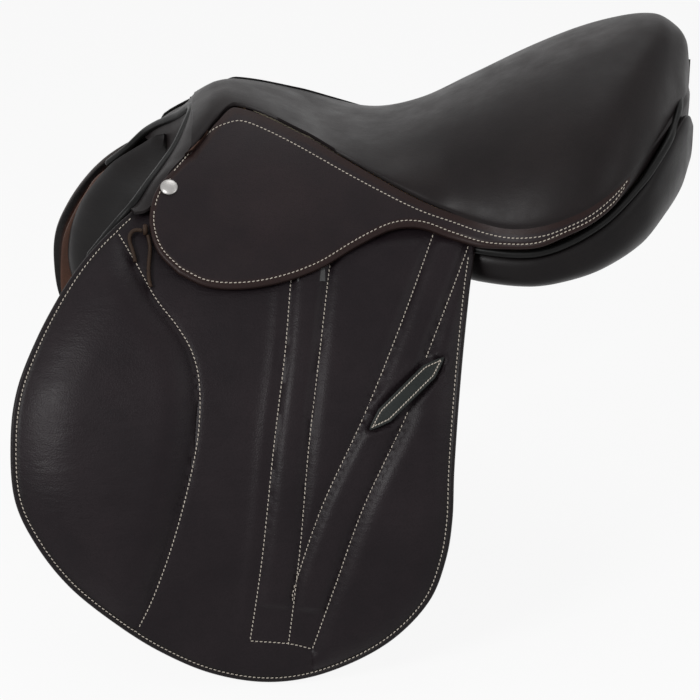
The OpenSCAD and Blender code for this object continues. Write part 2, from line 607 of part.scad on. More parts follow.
// points [x, height, distance off the flap] along each tail, from the knot to the cut end
lace_front = [[-192.5, 53.5, 4.5], [-196, 54, 4.5], [-199.5, 53, 4.2], [-201.8, 50, 3.6], [-201.6, 46, 3.2],
    [-200, 42, 3], [-198.5, 38, 3], [-197.6, 34, 3]];
lace_rear = [[-188, 50.6, 4.5], [-187, 47, 4.2], [-186.4, 43, 3.6], [-186.8, 38, 3.2], [-187.4, 33, 3],
    [-187.6, 28, 3], [-187.2, 23, 3], [-186, 18.5, 3]];
function lace_path(points) = [for (p = smooth(points, 2)) [p[0], -side_w(r_flap + p[2], p[1]), p[1]]];
module lace_tails_left() {
    color("#241d1b") {
        tube(lace_path(lace_front), lace_r);
        tube(lace_path(lace_rear), lace_r);
    }
}
module lace_tails_right() { right_side() lace_tails_left(); }

// ---- girthing ----
// height of the top of the front and the rear billet
front_top = 60;
rear_top = 49;
// places of the tops along the saddle
front_x = -63;
rear_x = rail_end + 3 + billet_w / 2;
// straps sewn to the webs over the tree, from which the billets hang
module billet_webs_left() {
    frame_z = rail_ring(rear_x, 1)[1][2] - 4.3;
    color("tan") {
        layer(r_billet, billet_t, [[front_x - billet_w / 2, arch_foot - gap],
            [front_x - billet_w / 2, front_top + gap], [front_x + billet_w / 2, front_top + gap],
            [front_x + billet_w / 2, arch_foot - gap]]);
        layer(r_billet, billet_t, [[rear_x - billet_w / 2, frame_z], [rear_x - billet_w / 2, rear_top + gap],
            [rear_x + billet_w / 2, rear_top + gap], [rear_x + billet_w / 2, frame_z]]);
    }
}
module billet_webs_right() { right_side() billet_webs_left(); }
// billet from its top to its tip: x and height at both ends, with a row of buckle holes
module billet(x_top, top, x_tip, z_tip, holes) {
    rake = (x_tip - x_top) / (z_tip - top);
    h = billet_w / 2;
    drop = h * cos(side_angle(r_billet, top));
    difference() {
        layer(r_billet, billet_t, concat([for (a = [180 : -20 : 0])
                [x_top + h * cos(a), top - drop + drop * sin(a)]],
            [[x_tip + h + rake * 12, z_tip + 12], [x_tip + 5, z_tip], [x_tip - 5, z_tip],
            [x_tip - h + rake * 12, z_tip + 12]]));
        for (i = [0 : holes - 1]) let (
                a = side_angle(r_billet, z_tip) + (20 + hole_pitch * i) * 180 / PI / r_billet,
                z = barrel_z + r_billet * sin(a))
            at_side(x_tip + rake * (z - z_tip), r_billet, z) translate([0, 0, -billet_t - 2])
                cylinder(r = hole_d / 2, h = billet_t + 4, $fn = 48);
    }
}
module billet_front_left() { color("#3a2a22") billet(front_x, front_top, -100, -238, hole_count); }
module billet_front_right() { right_side() billet_front_left(); }
module billet_rear_left() { color("#3a2a22") billet(rear_x, rear_top, -62, -198, hole_count - 1); }
module billet_rear_right() { right_side() billet_rear_left(); }

// ---- panels ----
// lower silhouette and outer edge of a panel
panel_front = -118;
panel_low = [[panel_front, 34], [-50, 17], [0, 8], [0.27 * cantle_x, 2], [0.42 * cantle_x, 0],
    [0.525 * cantle_x, 1.5], [0.66 * cantle_x, 7], [0.8 * cantle_x, 20], [0.883 * cantle_x, 37],
    [0.954 * cantle_x, 57], [0.99 * cantle_x, 78]];
panel_high = [[panel_front, 55], [-50, 45], [0, 40], [0.27 * cantle_x, 37], [0.45 * cantle_x, 38],
    [0.64 * cantle_x, 55], [0.775 * cantle_x, 78.5], [0.883 * cantle_x, 99.5], [0.954 * cantle_x, 109],
    [0.99 * cantle_x, 106]];
panel_out = [[panel_front, 76], [-50, 84], [0, 92], [30, 101], [0.2 * cantle_x, 114],
    [0.27 * cantle_x, 127], [0.42 * cantle_x, 138], [0.525 * cantle_x, 138], [0.66 * cantle_x, 130],
    [0.8 * cantle_x, 113], [0.883 * cantle_x, 92], [0.954 * cantle_x, 66], [0.99 * cantle_x, 47]];
// how far a panel's outer edge is raised, and its channel edge lowered, towards the cantle
panel_tilt = [[panel_front, 0], [0.3 * cantle_x, 0], [0.64 * cantle_x, 3], [0.883 * cantle_x, 9],
    [0.99 * cantle_x, 6]];
panel_n = 26;
function panel_x(i) = panel_front + (0.99 * cantle_x - panel_front) * sin(90 * pow(i / panel_n, 0.9));
module panel_left() {
    color("#201c1b") loft([for (i = [0 : panel_n]) let (x = panel_x(i), out = along(panel_out, x),
            a = (out - channel_half) / 2, w = (out + channel_half) / 2,
            lo = along(panel_low, x), hi = along(panel_high, x), b = (hi - lo) / 2, e = along(panel_tilt, x))
        [for (j = [0 : 15]) let (c = cos(22.5 * j), s = sin(22.5 * j),
                cw = sign(c) * pow(abs(c), 0.8), sz = sign(s) * pow(abs(s), 0.8))
            [x, -w - a * cw, (hi + lo) / 2 + b * sz + 0.06 * a * (1 - cw) + e * cw]]]);
}
module panel_right() { right_side() panel_left(); }
// the roll runs along the upper edge of the rear of the panel
roll_first = 11;
panel_roll_path = [for (i = [roll_first : panel_n - 1]) let (x = panel_x(i), f = along(panel_tilt, x) / 9)
    [x, -along(panel_out, x) + 1 + 4 * f, along(panel_high, x) + 6 * f + roll_r * (0.2 + 0.5 * f)]];
module panel_roll_left() { color("#231f1e") tube(panel_roll_path, roll_r); }
module panel_roll_right() { right_side() panel_roll_left(); }

// sweat flap between billets and horse, with a stuffed pad along its front
sweat_outline = smooth(concat([[-0.68 * flap_front, 63], [-0.775 * flap_front, 42],
    [-0.862 * flap_front, 21], [-0.907 * flap_front, 2], [-0.958 * flap_front, -23],
    [-flap_front, -52], [-flap_front - 4.5, -86]], [for (p = [[-1.005, -0.45], [-0.95, -0.56],
        [-0.86, -0.675], [-0.74, -0.78], [-0.62, -0.86], [-0.49, -0.92], [-0.33, -0.94], [-0.17, -0.9],
        [-0.06, -0.8], [0.02, -0.66], [0.06, -0.5], [0.075, -0.3], [0.08, -0.1]])
        [p[0] * flap_front, p[1] * flap_drop]],
    [[rail_end - 6, 15], [rail_end - 8, 38], [-24, arch_foot - 4], [-100, arch_foot - 2]]), 2);
module sweat_flap_left() { color("#2c211d") layer(r_sweat, sweat_t, sweat_outline); }
module sweat_flap_right() { right_side() sweat_flap_left(); }
// the stuffed part is stitched to the sweat flap, so both halves of the arch have one
front_pad_outline = smooth([[-190, 50], [-208, 40], [-231, 22], [-252, -10], [-268, -44], [-272, -80],
    [-262, -110], [-242, -122], [-222, -108], [-206, -76], [-190, -40], [-172, 0], [-160, 34],
    [-160, 50]], 2);
module front_pad_left() {
    color("#201c1b") layer(r_sweat - sweat_t - lay, front_pad_t, front_pad_outline);
}
module front_pad_right() { right_side() front_pad_left(); }

tree_cantle();
tree_head();
tree_rail_left();
tree_rail_right();
head_plate();
gullet_plate();
tree_spring_left();
tree_spring_right();
seat_web();
cross_web();
seat_foam();
seat_cover();
seat_welt_left();
seat_welt_right();
arch_roll();
skirt_left();
skirt_right();
saddle_nail_left();
saddle_nail_right();
flap_head_left();
flap_head_right();
stirrup_bar_left();
stirrup_bar_right();
bar_rivets_left();
bar_rivets_right();
billet_webs_left();
billet_webs_right();
panel_left();
panel_right();
front_pad_left();
front_pad_right();
panel_roll_left();
panel_roll_right();
sweat_flap_left();
sweat_flap_right();
flap_left();
flap_right();
knee_pad_left();
knee_pad_right();
thigh_pad_left();
thigh_pad_right();
channel_pads_left();
channel_pads_right();
keeper_left();
keeper_right();
lace_knot_left();
lace_knot_right();
lace_tails_left();
lace_tails_right();
skirt_lobe_left();
skirt_lobe_right();
billet_front_left();
billet_front_right();
billet_rear_left();
billet_rear_right();
bar_catch_left();
bar_catch_right();
catch_pin_left();
catch_pin_right();
size_tab_left();
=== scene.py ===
import math

import bmesh
import bpy
import numpy as np
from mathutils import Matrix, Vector


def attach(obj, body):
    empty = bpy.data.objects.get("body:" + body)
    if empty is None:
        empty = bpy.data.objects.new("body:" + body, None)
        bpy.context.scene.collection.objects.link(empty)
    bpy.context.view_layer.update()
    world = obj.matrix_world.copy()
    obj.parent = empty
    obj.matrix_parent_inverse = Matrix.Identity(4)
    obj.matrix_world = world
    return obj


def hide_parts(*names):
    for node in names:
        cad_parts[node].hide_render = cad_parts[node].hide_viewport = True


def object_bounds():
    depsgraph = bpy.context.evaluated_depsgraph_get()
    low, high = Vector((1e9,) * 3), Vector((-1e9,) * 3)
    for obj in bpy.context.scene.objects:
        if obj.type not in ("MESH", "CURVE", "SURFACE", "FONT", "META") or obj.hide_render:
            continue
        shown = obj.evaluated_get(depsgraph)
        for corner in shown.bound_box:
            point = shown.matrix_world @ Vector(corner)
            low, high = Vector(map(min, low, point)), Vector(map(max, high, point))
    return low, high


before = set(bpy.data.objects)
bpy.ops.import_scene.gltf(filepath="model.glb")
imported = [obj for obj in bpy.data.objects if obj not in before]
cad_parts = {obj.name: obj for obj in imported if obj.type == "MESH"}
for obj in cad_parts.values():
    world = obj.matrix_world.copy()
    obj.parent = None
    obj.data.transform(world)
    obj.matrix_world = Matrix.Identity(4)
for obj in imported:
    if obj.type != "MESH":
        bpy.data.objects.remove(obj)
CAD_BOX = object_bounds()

# The frame: head towards -X, near side towards -Y, up +Z. Tables are in millimetres, pieces in metres.
MM = 0.001
AXIS_Y = 210.0
BARREL_Z = -259.0
R_FLAP = 450.0
R_SKIRT = 459.0
R_SWEAT = 437.0
FLAP_T = 5.0
SKIRT_T = 4.0
HINGE_Z = 70.0
HINGE_R = 459.5
POMMEL_X = 155.0
CANTLE_X = 240.0
LOBE_REAR = -15.0
SIDES = (("left", -1), ("right", 1))
OTHER_SIDE = [1, -1, 1]


def add(name, data):
    """New object in the scene."""
    made = bpy.data.objects.new(name, data)
    bpy.context.scene.collection.objects.link(made)
    return made


# ---------------------------------------------------------------- camera
def place_camera():
    """Long lens from the near side, a little above and a little ahead of square on."""
    turn, rise, far = math.radians(-2.5), math.radians(22.0), 1.85
    back = Vector((math.sin(turn) * math.cos(rise), -math.cos(turn) * math.cos(rise), math.sin(rise)))
    lens = bpy.data.cameras.new("camera")
    lens.lens, lens.sensor_width = 114.17, 36.0
    cam = add("camera", lens)
    cam.location = Vector((-0.030, 0.0, -0.095)) + back * far
    cam.rotation_euler = (-back).to_track_quat("-Z", "Y").to_euler()
    bpy.context.scene.camera = cam


place_camera()


# ---------------------------------------------------------------- curves and layers
def smooth(points, steps=10):
    """Catmull-Rom curve through the points, with a number of steps between each two."""
    p = np.asarray(points, float)
    q = np.vstack([p[:1], p, p[-1:]])
    t = np.arange(steps)[None, :, None] / steps
    a, b, c, d = (q[i:len(q) - 3 + i][:, None, :] for i in range(4))
    out = 0.5 * (2 * b + (c - a) * t + (2 * a - 5 * b + 4 * c - d) * t**2 + (3 * b - a - 3 * c + d) * t**3)
    return np.vstack([out.reshape(-1, p.shape[1]), p[-1:]])


def along(table, x):
    """Smooth value at x of a table of points (x, value): Hermite pieces with central slopes."""
    p = np.asarray(table, float)
    x = np.asarray(x, float)
    lo, hi = np.maximum(np.arange(len(p)) - 1, 0), np.minimum(np.arange(len(p)) + 1, len(p) - 1)
    m = (p[hi, 1] - p[lo, 1]) / (p[hi, 0] - p[lo, 0])
    i = np.clip(np.searchsorted(p[:, 0], x, side="right") - 1, 0, len(p) - 2)
    h = p[i + 1, 0] - p[i, 0]
    t = (x - p[i, 0]) / h
    return (p[i, 1] * (1 - t) ** 2 * (1 + 2 * t) + h * m[i] * t * (1 - t) ** 2
            + p[i + 1, 1] * t * t * (3 - 2 * t) - h * m[i + 1] * t * t * (1 - t))


def run_length(path):
    """Distance along a path at each of its points."""
    return np.r_[0, np.cumsum(np.linalg.norm(np.diff(path, axis=0), axis=1))]


def point_at(path, at):
    """Points of the path at the given distances along it."""
    return np.stack([np.interp(at, run_length(path), column) for column in path.T], axis=1)


def evenly(path, count=None, pitch=None):
    """The path's points put at equal distances, by count or by pitch."""
    path = np.asarray(path, float)
    whole = run_length(path)[-1]
    return point_at(path, np.linspace(0, whole, count or max(int(round(whole / pitch)), 1) + 1))


def over_the_top(half):
    """A near-side path or grid that ends on the centre line, carried on down the far side."""
    return np.concatenate([half, half[-2::-1] * OTHER_SIDE])


def unit(v):
    """Vectors brought to length 1."""
    return v / np.maximum(np.linalg.norm(v, axis=-1, keepdims=True), 1e-9)


def across(grid):
    """Unit normals of a grid of points, on the side given by its own order."""
    return unit(np.cross(np.gradient(grid, axis=0), np.gradient(grid, axis=1)))


def offset_line(line, d):
    """A flat line moved to its left by d."""
    v = unit(np.gradient(line, axis=0))
    return line + d * np.stack([-v[:, 1], v[:, 0]], axis=1)


def away(x, a, line):
    """Distance from each point (x, a) to a polyline."""
    p = np.stack([np.ravel(x), np.ravel(a)], axis=1)
    q, d = np.asarray(line, float)[:-1], np.diff(np.asarray(line, float), axis=0)
    best = np.full(len(p), 1e9)
    for start, step in zip(q, d):
        t = np.clip(((p - start) @ step) / max(step @ step, 1e-12), 0, 1)
        best = np.minimum(best, np.hypot(*(p - start - t[:, None] * step).T))
    return best.reshape(np.shape(x))


def round_over(d, r):
    """Drop of a rounded edge of radius r at distance d inside the edge."""
    return -r * (1 - np.sqrt(1 - np.clip(1 - d / r, 0, 1) ** 2))


def swell(d, w, power=2.0):
    """Rise of a stuffed edge: 0 on the seam, 1 from the distance w on."""
    return 1 - (1 - np.clip(d / w, 0, 1)) ** power


def dent(d, w):
    """Bell of width w round distance 0."""
    return np.exp(-((d / w) ** 2))


def ease(t):
    """Smooth step from 0 to 1."""
    t = np.clip(t, 0, 1)
    return t * t * (3 - 2 * t)


def side_w(r, z):
    """Distance from the centre line of the side layer of radius r at height z."""
    return np.sqrt(r * r - (np.asarray(z, float) - BARREL_Z) ** 2) - AXIS_Y


def arc(r, z):
    """Arc length up the side layer of radius r at height z."""
    return r * np.arcsin((np.asarray(z, float) - BARREL_Z) / r)


def height(r, a):
    """Height at arc length a on the layer of radius r."""
    return BARREL_Z + r * np.sin(a / r)


def flat(r, points):
    """Points (x, z) of an outline laid flat on the layer of radius r, as (x, arc length)."""
    p = np.asarray(points, float)
    return np.stack([p[:, 0], arc(r, p[:, 1])], axis=1)


def on_side(r, x, a, h, s):
    """Place on side s of a flat point (x, a) of the layer of radius r, raised by h."""
    ang = a / r
    y = s * ((r + h) * np.cos(ang) - AXIS_Y)
    return np.stack(np.broadcast_arrays(x, y, BARREL_Z + (r + h) * np.sin(ang)), axis=-1)


def side_normal(r, a, s):
    """Outward direction of the layer at arc length a."""
    ang = np.asarray(a, float) / r
    return np.stack([0 * ang, s * np.cos(ang), np.sin(ang)], axis=-1)


# ---------------------------------------------------------------- meshes
def mesh_piece(name, verts, faces, marks=None, sharp=50.0):
    """Mesh object from points in millimetres, with faces turned outwards and float marks per point."""
    mesh = bpy.data.meshes.new(name)
    mesh.from_pydata((np.asarray(verts, float) * MM).tolist(), [], faces)
    for key, values in (marks or {}).items():
        values = np.asarray(values, np.float32).ravel()
        mesh.attributes.new(key, "FLOAT", "POINT").data.foreach_set("value", values)
    work = bmesh.new()
    work.from_mesh(mesh)
    bmesh.ops.remove_doubles(work, verts=work.verts, dist=1e-6)
    bmesh.ops.delete(work, geom=[v for v in work.verts if not v.link_faces], context="VERTS")
    bmesh.ops.recalc_face_normals(work, faces=work.faces)
    work.to_mesh(mesh)
    work.free()
    mesh.shade_smooth()
    mesh.set_sharp_from_angle(angle=math.radians(sharp))
    return add(name, mesh)


def cells(n, m, keep):
    """Quads of an n by m grid where keep holds, as rows of four point numbers."""
    i, j = np.meshgrid(np.arange(n - 1), np.arange(m - 1), indexing="ij")
    return np.stack([i * m + j, i * m + j + 1, (i + 1) * m + j + 1, (i + 1) * m + j], axis=-1)[keep]


def ring_cells(n, m):
    """Quads between n closed rings of m points each."""
    i, j = np.meshgrid(np.arange(n - 1), np.arange(m), indexing="ij")
    k = (j + 1) % m
    return np.stack([i * m + j, i * m + k, (i + 1) * m + k, (i + 1) * m + j], axis=-1).reshape(-1, 4)


def shell(name, outer, inner, keep=None, marks=None, sharp=50.0):
    """Closed sheet: an outer and an inner grid of the same size, joined by walls round the kept cells."""
    n, m = outer.shape[:2]
    keep = np.ones((n - 1, m - 1), bool) if keep is None else keep
    pad = np.pad(keep, 1)
    idx = np.arange(n * m).reshape(n, m)
    off = n * m
    face = cells(n, m, keep)
    faces = [face, face[:, ::-1] + off]
    for di, dj, a, b in ((-1, 0, idx[:-1, :-1], idx[:-1, 1:]), (1, 0, idx[1:, 1:], idx[1:, :-1]),
                         (0, -1, idx[1:, :-1], idx[:-1, :-1]), (0, 1, idx[:-1, 1:], idx[1:, 1:])):
        edge = keep & ~pad[1 + di:n + di, 1 + dj:m + dj]
        faces.append(np.stack([b[edge], a[edge], a[edge] + off, b[edge] + off], axis=-1))
    verts = np.vstack([outer.reshape(-1, 3), inner.reshape(-1, 3)])
    both = {k: np.r_[np.ravel(v[0]), np.ravel(v[1])] for k, v in (marks or {}).items()}
    return mesh_piece(name, verts, np.vstack(faces).tolist(), both, sharp)


def closed_loft(name, rings, marks=None, sharp=50.0):
    """Closed skin over rings of points, its two ends drawn in to their middles."""
    n, m = rings.shape[:2]
    verts = np.vstack([rings.reshape(-1, 3), rings[0].mean(axis=0), rings[-1].mean(axis=0)])
    j = np.arange(m)
    caps = np.vstack([np.stack([j, np.full(m, n * m), (j + 1) % m], axis=1),
                      np.stack([(n - 1) * m + j, np.full(m, n * m + 1), (n - 1) * m + (j + 1) % m], axis=1)])
    filled = {key: np.r_[np.ravel(v), 0, 0] for key, v in (marks or {}).items()}
    return mesh_piece(name, verts, ring_cells(n, m).tolist() + caps.tolist(), filled, sharp)


def tube(name, path, radius, sides=12):
    """Round roll along a path, its two ends domed: rings of radius r(s) across the path's direction."""
    path = np.asarray(path, float)
    d = unit(np.gradient(path, axis=0))
    up = np.where(np.abs(d[:, 2:3]) > 0.9, [[0.0, 1.0, 0.0]], [[0.0, 0.0, 1.0]])
    e = unit(np.cross(d, up))
    f = np.cross(e, d)
    dome = np.sin(np.radians([15, 50, 90]))
    lean = 1 - np.cos(np.radians([15, 50, 90]))
    stops = np.r_[np.zeros(3, int), np.arange(1, len(path) - 1), np.full(3, len(path) - 1)]
    r = np.r_[dome, np.ones(len(path) - 2), dome[::-1]] * radius
    push = np.r_[-(1 - lean), np.zeros(len(path) - 2), (1 - lean)[::-1]] * radius
    ang = np.linspace(0, 2 * np.pi, sides, endpoint=False)
    ring = np.cos(ang)[None, :, None] * e[stops][:, None] + np.sin(ang)[None, :, None] * f[stops][:, None]
    middle = path[stops] + push[:, None] * 0.9 * d[stops]
    return closed_loft(name, middle[:, None] + r[:, None, None] * ring, sharp=80)


GRAIN_LONG, GRAIN_WIDE, GRAIN_HIGH = 1.2, 0.5, 0.5


def stitches(name, rows, pitch):
    """Thread: one small six-sided grain at each pitch along rows of (points, normals), a little slanted."""
    ang = np.radians(np.arange(0, 360, 60))
    ring = np.stack([0 * ang, np.cos(ang) * GRAIN_WIDE, np.sin(ang) * GRAIN_HIGH], axis=1)
    tip, waist = [GRAIN_LONG, 0, 0], [0.8, 0, 0]
    shape = np.vstack([np.negative(tip), ring * 0.8 - waist, ring * 0.8 + waist, tip])
    k = np.arange(6)
    j = (k + 1) % 6
    tris = ([[0, 1 + b, 1 + a] for a, b in zip(k, j)] + [[1 + a, 1 + b, 7 + b, 7 + a] for a, b in zip(k, j)]
            + [[13, 7 + a, 7 + b] for a, b in zip(k, j)])
    verts, faces = [], []
    for points, normals in rows:
        both = evenly(np.hstack([points, normals]), pitch=pitch / 4)[2::4]
        if len(both) < 2:
            continue
        mid, up = both[:, :3], both[:, 3:]
        go = unit(np.gradient(mid, axis=0))
        up = unit(up - (up * go).sum(1)[:, None] * go)
        wide = np.cross(up, go)
        go, wide = go + 0.14 * wide, wide - 0.14 * go
        grain = (mid[:, None] + shape[None, :, :1] * go[:, None] + shape[None, :, 1:2] * wide[:, None]
                 + shape[None, :, 2:] * up[:, None])
        start = sum(len(v) for v in verts)
        verts.append(grain.reshape(-1, 3))
        for g in range(len(mid)):
            faces += [[start + g * len(shape) + i for i in t] for t in tris]
    mesh = bpy.data.meshes.new(name)
    mesh.from_pydata((np.vstack(verts) * MM).tolist(), [], faces)
    mesh.shade_smooth()
    return add(name, mesh)


def paint(piece, material):
    """Gives a piece one material."""
    piece.data.materials.clear()
    piece.data.materials.append(material)


def sew_on(piece, body, slot, material, *nodes):
    """Gives a piece its body, its finish and the frame's nodes that it stands for."""
    paint(piece, material)
    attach(piece, body)
    if nodes:
        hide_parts(*nodes)
    return piece


def sew_thread(name, rows, body, pitch=3.4):
    """Rows of stitches on a body."""
    sew_on(stitches(name, rows, pitch), body, "web", THREAD)


# ---------------------------------------------------------------- materials
def node(tree, kind, where=None, **inputs):
    """One shader node with its plain input values set by name."""
    made = tree.nodes.new(kind)
    for key, value in (where or {}).items():
        setattr(made, key, value)
    for key, value in inputs.items():
        made.inputs[key.replace("_", " ")].default_value = value
    return made


def start_material(name, kind="ShaderNodeBsdfPrincipled", **shader):
    """Empty material with one shader whose uniform values sit on its own sockets."""
    mat = bpy.data.materials.new(name)
    mat.use_nodes = True
    tree = mat.node_tree
    tree.nodes.clear()
    out = tree.nodes.new("ShaderNodeOutputMaterial")
    skin = node(tree, kind, **shader)
    tree.links.new(skin.outputs[0], out.inputs[0])
    place = tree.nodes.new("ShaderNodeTexCoord").outputs["Object"]
    return mat, tree, skin, place


def feed(tree, skin, colour, rough, normal):
    """Links colour, roughness and relief to the shader."""
    for socket, value in (("Base Color", colour), ("Roughness", rough), ("Normal", normal)):
        tree.links.new(value, skin.inputs[socket])


def wave(tree, place, direction, scale, distortion):
    """Bands across one direction of the object's coordinates."""
    made = node(tree, "ShaderNodeTexWave", {"bands_direction": direction}, Scale=scale, Distortion=distortion)
    tree.links.new(place, made.inputs["Vector"])
    return made.outputs["Fac"]


def noise(tree, place, scale, detail=3.0, rough=0.5, stretch=None):
    """Noise over the object's coordinates, stretched where asked."""
    if stretch:
        m = node(tree, "ShaderNodeMapping", Scale=stretch)
        tree.links.new(place, m.inputs["Vector"])
        place = m.outputs[0]
    n = node(tree, "ShaderNodeTexNoise", Scale=scale, Detail=detail, Roughness=rough)
    tree.links.new(place, n.inputs["Vector"])
    return n.outputs["Fac"]


def mix_colour(tree, fac, a, b):
    """Mix of two colours, each a socket or an RGB triple."""
    m = tree.nodes.new("ShaderNodeMix")
    m.data_type = "RGBA"
    tree.links.new(fac, m.inputs["Factor"])
    for socket, value in ((m.inputs[6], a), (m.inputs[7], b)):
        if isinstance(value, tuple):
            socket.default_value = (*value, 1)
        else:
            tree.links.new(value, socket)
    return m.outputs[2]


def spread(tree, value, lo, hi, to_lo, to_hi):
    """Maps lo to hi onto to_lo to to_hi, held at both ends."""
    m = node(tree, "ShaderNodeMapRange")
    for k, v in zip((1, 2, 3, 4), (lo, hi, to_lo, to_hi)):
        m.inputs[k].default_value = v
    tree.links.new(value, m.inputs[0])
    return m.outputs[0]


def reckon(tree, operation, *values):
    """Sum, product or greatest of two sockets."""
    made = node(tree, "ShaderNodeMath", {"operation": operation})
    for socket, value in zip(made.inputs, values):
        tree.links.new(value, socket)
    return made.outputs[0]


def seen_directly(tree):
    """1 for rays from the camera, in reflections and through clear material, 0 for light on things."""
    ray = tree.nodes.new("ShaderNodeLightPath").outputs
    both = reckon(tree, "MAXIMUM", ray["Is Camera Ray"], ray["Is Glossy Ray"])
    return reckon(tree, "MAXIMUM", both, ray["Is Transmission Ray"])


def mark(tree, name):
    """A float mark stored on the mesh's points."""
    return node(tree, "ShaderNodeAttribute", {"attribute_name": name}).outputs["Fac"]


def bump(tree, value, strength, distance, before=None):
    """One layer of relief on top of the layer before it."""
    b = node(tree, "ShaderNodeBump", Strength=strength, Distance=distance)
    tree.links.new(value, b.inputs["Height"])
    if before is not None:
        tree.links.new(before, b.inputs["Normal"])
    return b.outputs[0]


def leather(name, dark, warm, rough=0.42, grain=0.35, cell=900, crease=0.3, edge=None, lining=None, rim=None):
    """Leather: pebbled grain from cells, fine pores, soft wrinkles, slow change of tone, and where the mesh
    marks them raw edges, a lining and a darker rim."""
    mat, tree, skin, place = start_material(name, Specular_IOR_Level=0.13)
    tone = spread(tree, noise(tree, place, 16, 4, 0.6), 0.38, 0.66, 0, 1)
    colour = mix_colour(tree, tone, dark, warm)
    for kind, tint in (("rim", rim), ("lining", lining), ("edge", edge)):
        if tint:
            colour = mix_colour(tree, mark(tree, kind), colour, tint)
    cells_tex = node(tree, "ShaderNodeTexVoronoi", Scale=cell, Randomness=0.9)
    tree.links.new(place, cells_tex.inputs["Vector"])
    pebble = cells_tex.outputs["Distance"]
    pores = noise(tree, place, 2600, 2)
    folds = noise(tree, place, 75, 5, 0.62, (0.55, 1.0, 1.9))
    pitted = mix_colour(tree, spread(tree, pebble, 0.35, 0.8, 0, 0.35), colour, tuple(c * 0.45 for c in dark))
    relief = bump(tree, pebble, grain, 0.00022, bump(tree, folds, crease, 0.0012))
    roughness = spread(tree, noise(tree, place, 38, 5, 0.65), 0.3, 0.7, rough - 0.06, rough + 0.08)
    feed(tree, skin, pitted, roughness, bump(tree, pores, grain * 0.6, 0.00006, relief))
    return mat


def thread(name, colour, shade):
    """Waxed thread: two shades along a fine twist."""
    mat, tree, skin, place = start_material(name, Sheen_Weight=0.2, Specular_IOR_Level=0.3)
    twist = wave(tree, place, "DIAGONAL", 900, 1.5)
    feed(tree, skin, mix_colour(tree, twist, shade, colour),
         spread(tree, noise(tree, place, 300), 0.3, 0.7, 0.55, 0.75), bump(tree, twist, 0.4, 0.0001))
    return mat


def metal(name, colour, rough):
    """Brushed metal: fine scratches in one direction, a few spots of dulling."""
    mat, tree, skin, place = start_material(name, Metallic=1.0)
    lines = noise(tree, place, 60, 6, 0.7, (3, 60, 60))
    spots = spread(tree, noise(tree, place, 90, 3), 0.4, 0.75, 0, 0.6)
    feed(tree, skin, mix_colour(tree, spots, colour, tuple(c * 0.72 for c in colour)),
         spread(tree, lines, 0.3, 0.7, rough - 0.07, rough + 0.1), bump(tree, lines, 0.25, 0.0001))
    return mat


def laminated_wood(name):
    """Beech plies: even layers up the thickness, with long grain."""
    mat, tree, skin, place = start_material(name, Specular_IOR_Level=0.35)
    grain = noise(tree, place, 40, 6, 0.7, (1, 9, 9))
    colour = mix_colour(tree, spread(tree, grain, 0.3, 0.7, 0, 1), (0.56, 0.37, 0.20), (0.68, 0.49, 0.29))
    plies = spread(tree, wave(tree, place, "Z", 110, 1.2), 0.0, 0.25, 0.5, 0)
    feed(tree, skin, mix_colour(tree, plies, colour, (0.33, 0.2, 0.1)),
         spread(tree, grain, 0.3, 0.7, 0.45, 0.62), bump(tree, grain, 0.3, 0.0003))
    return mat


def woven(name, colour, shade, count=700):
    """Plain weave: two crossed sets of threads."""
    mat, tree, skin, place = start_material(name, Sheen_Weight=0.25, Specular_IOR_Level=0.2)
    over = reckon(tree, "MULTIPLY", *(wave(tree, place, way, count, 0.6) for way in "XY"))
    slub = noise(tree, place, 120, 4)
    colour = mix_colour(tree, over, shade, colour)
    feed(tree, skin, mix_colour(tree, spread(tree, slub, 0.4, 0.7, 0, 0.35), colour, shade),
         spread(tree, slub, 0.3, 0.7, 0.75, 0.9), bump(tree, over, 0.5, 0.0002))
    return mat


SEAT_LEATHER = leather("seat_leather", (0.01, 0.0078, 0.0082), (0.015, 0.0118, 0.012), 0.42, 0.2, 1100, 0.12,
                       edge=(0.018, 0.010, 0.008))
FLAP_LEATHER = leather("flap_leather", (0.01, 0.0068, 0.0085), (0.015, 0.0105, 0.0125), 0.4, 0.42, 800, 0.42,
                       edge=(0.020, 0.013, 0.011), lining=(0.075, 0.030, 0.018), rim=(0.010, 0.009, 0.009))
SKIRT_LEATHER = leather("skirt_leather", (0.013, 0.009, 0.0105), (0.019, 0.0125, 0.014), 0.4, 0.22, 950, 0.1,
                        edge=(0.015, 0.008, 0.007), lining=(0.06, 0.03, 0.02), rim=(0.021, 0.011, 0.010))
PANEL_LEATHER = leather("panel_leather", (0.006, 0.005, 0.0054), (0.01, 0.0082, 0.0084), 0.38, 0.2, 1000, 0.16)
STRAP_LEATHER = leather("strap_leather", (0.030, 0.018, 0.012), (0.052, 0.030, 0.019), 0.5, 0.4, 700, 0.3)
PIPING = leather("piping", (0.0055, 0.0055, 0.0055), (0.0085, 0.0085, 0.0082), 0.36, 0.15, 1200, 0.12)
KEEPER_LEATHER = leather("keeper_leather", (0.020, 0.023, 0.022), (0.030, 0.033, 0.031), 0.42, 0.25, 900, 0.2)
LINING = leather("lining_leather", (0.060, 0.026, 0.016), (0.085, 0.038, 0.024), 0.5, 0.35, 700, 0.3)
THREAD = thread("thread", (0.66, 0.60, 0.52), (0.42, 0.37, 0.31))
NICKEL = metal("nickel", (0.36, 0.35, 0.34), 0.34)
STEEL = metal("steel", (0.50, 0.50, 0.49), 0.36)
WOOD = laminated_wood("laminated_beech")
WEB = woven("jute_web", (0.52, 0.43, 0.30), (0.30, 0.23, 0.15))
FOAM = woven("foam", (0.72, 0.66, 0.50), (0.60, 0.54, 0.40), 300)
TAB = woven("tab_cloth", (0.13, 0.13, 0.13), (0.06, 0.06, 0.06), 1500)

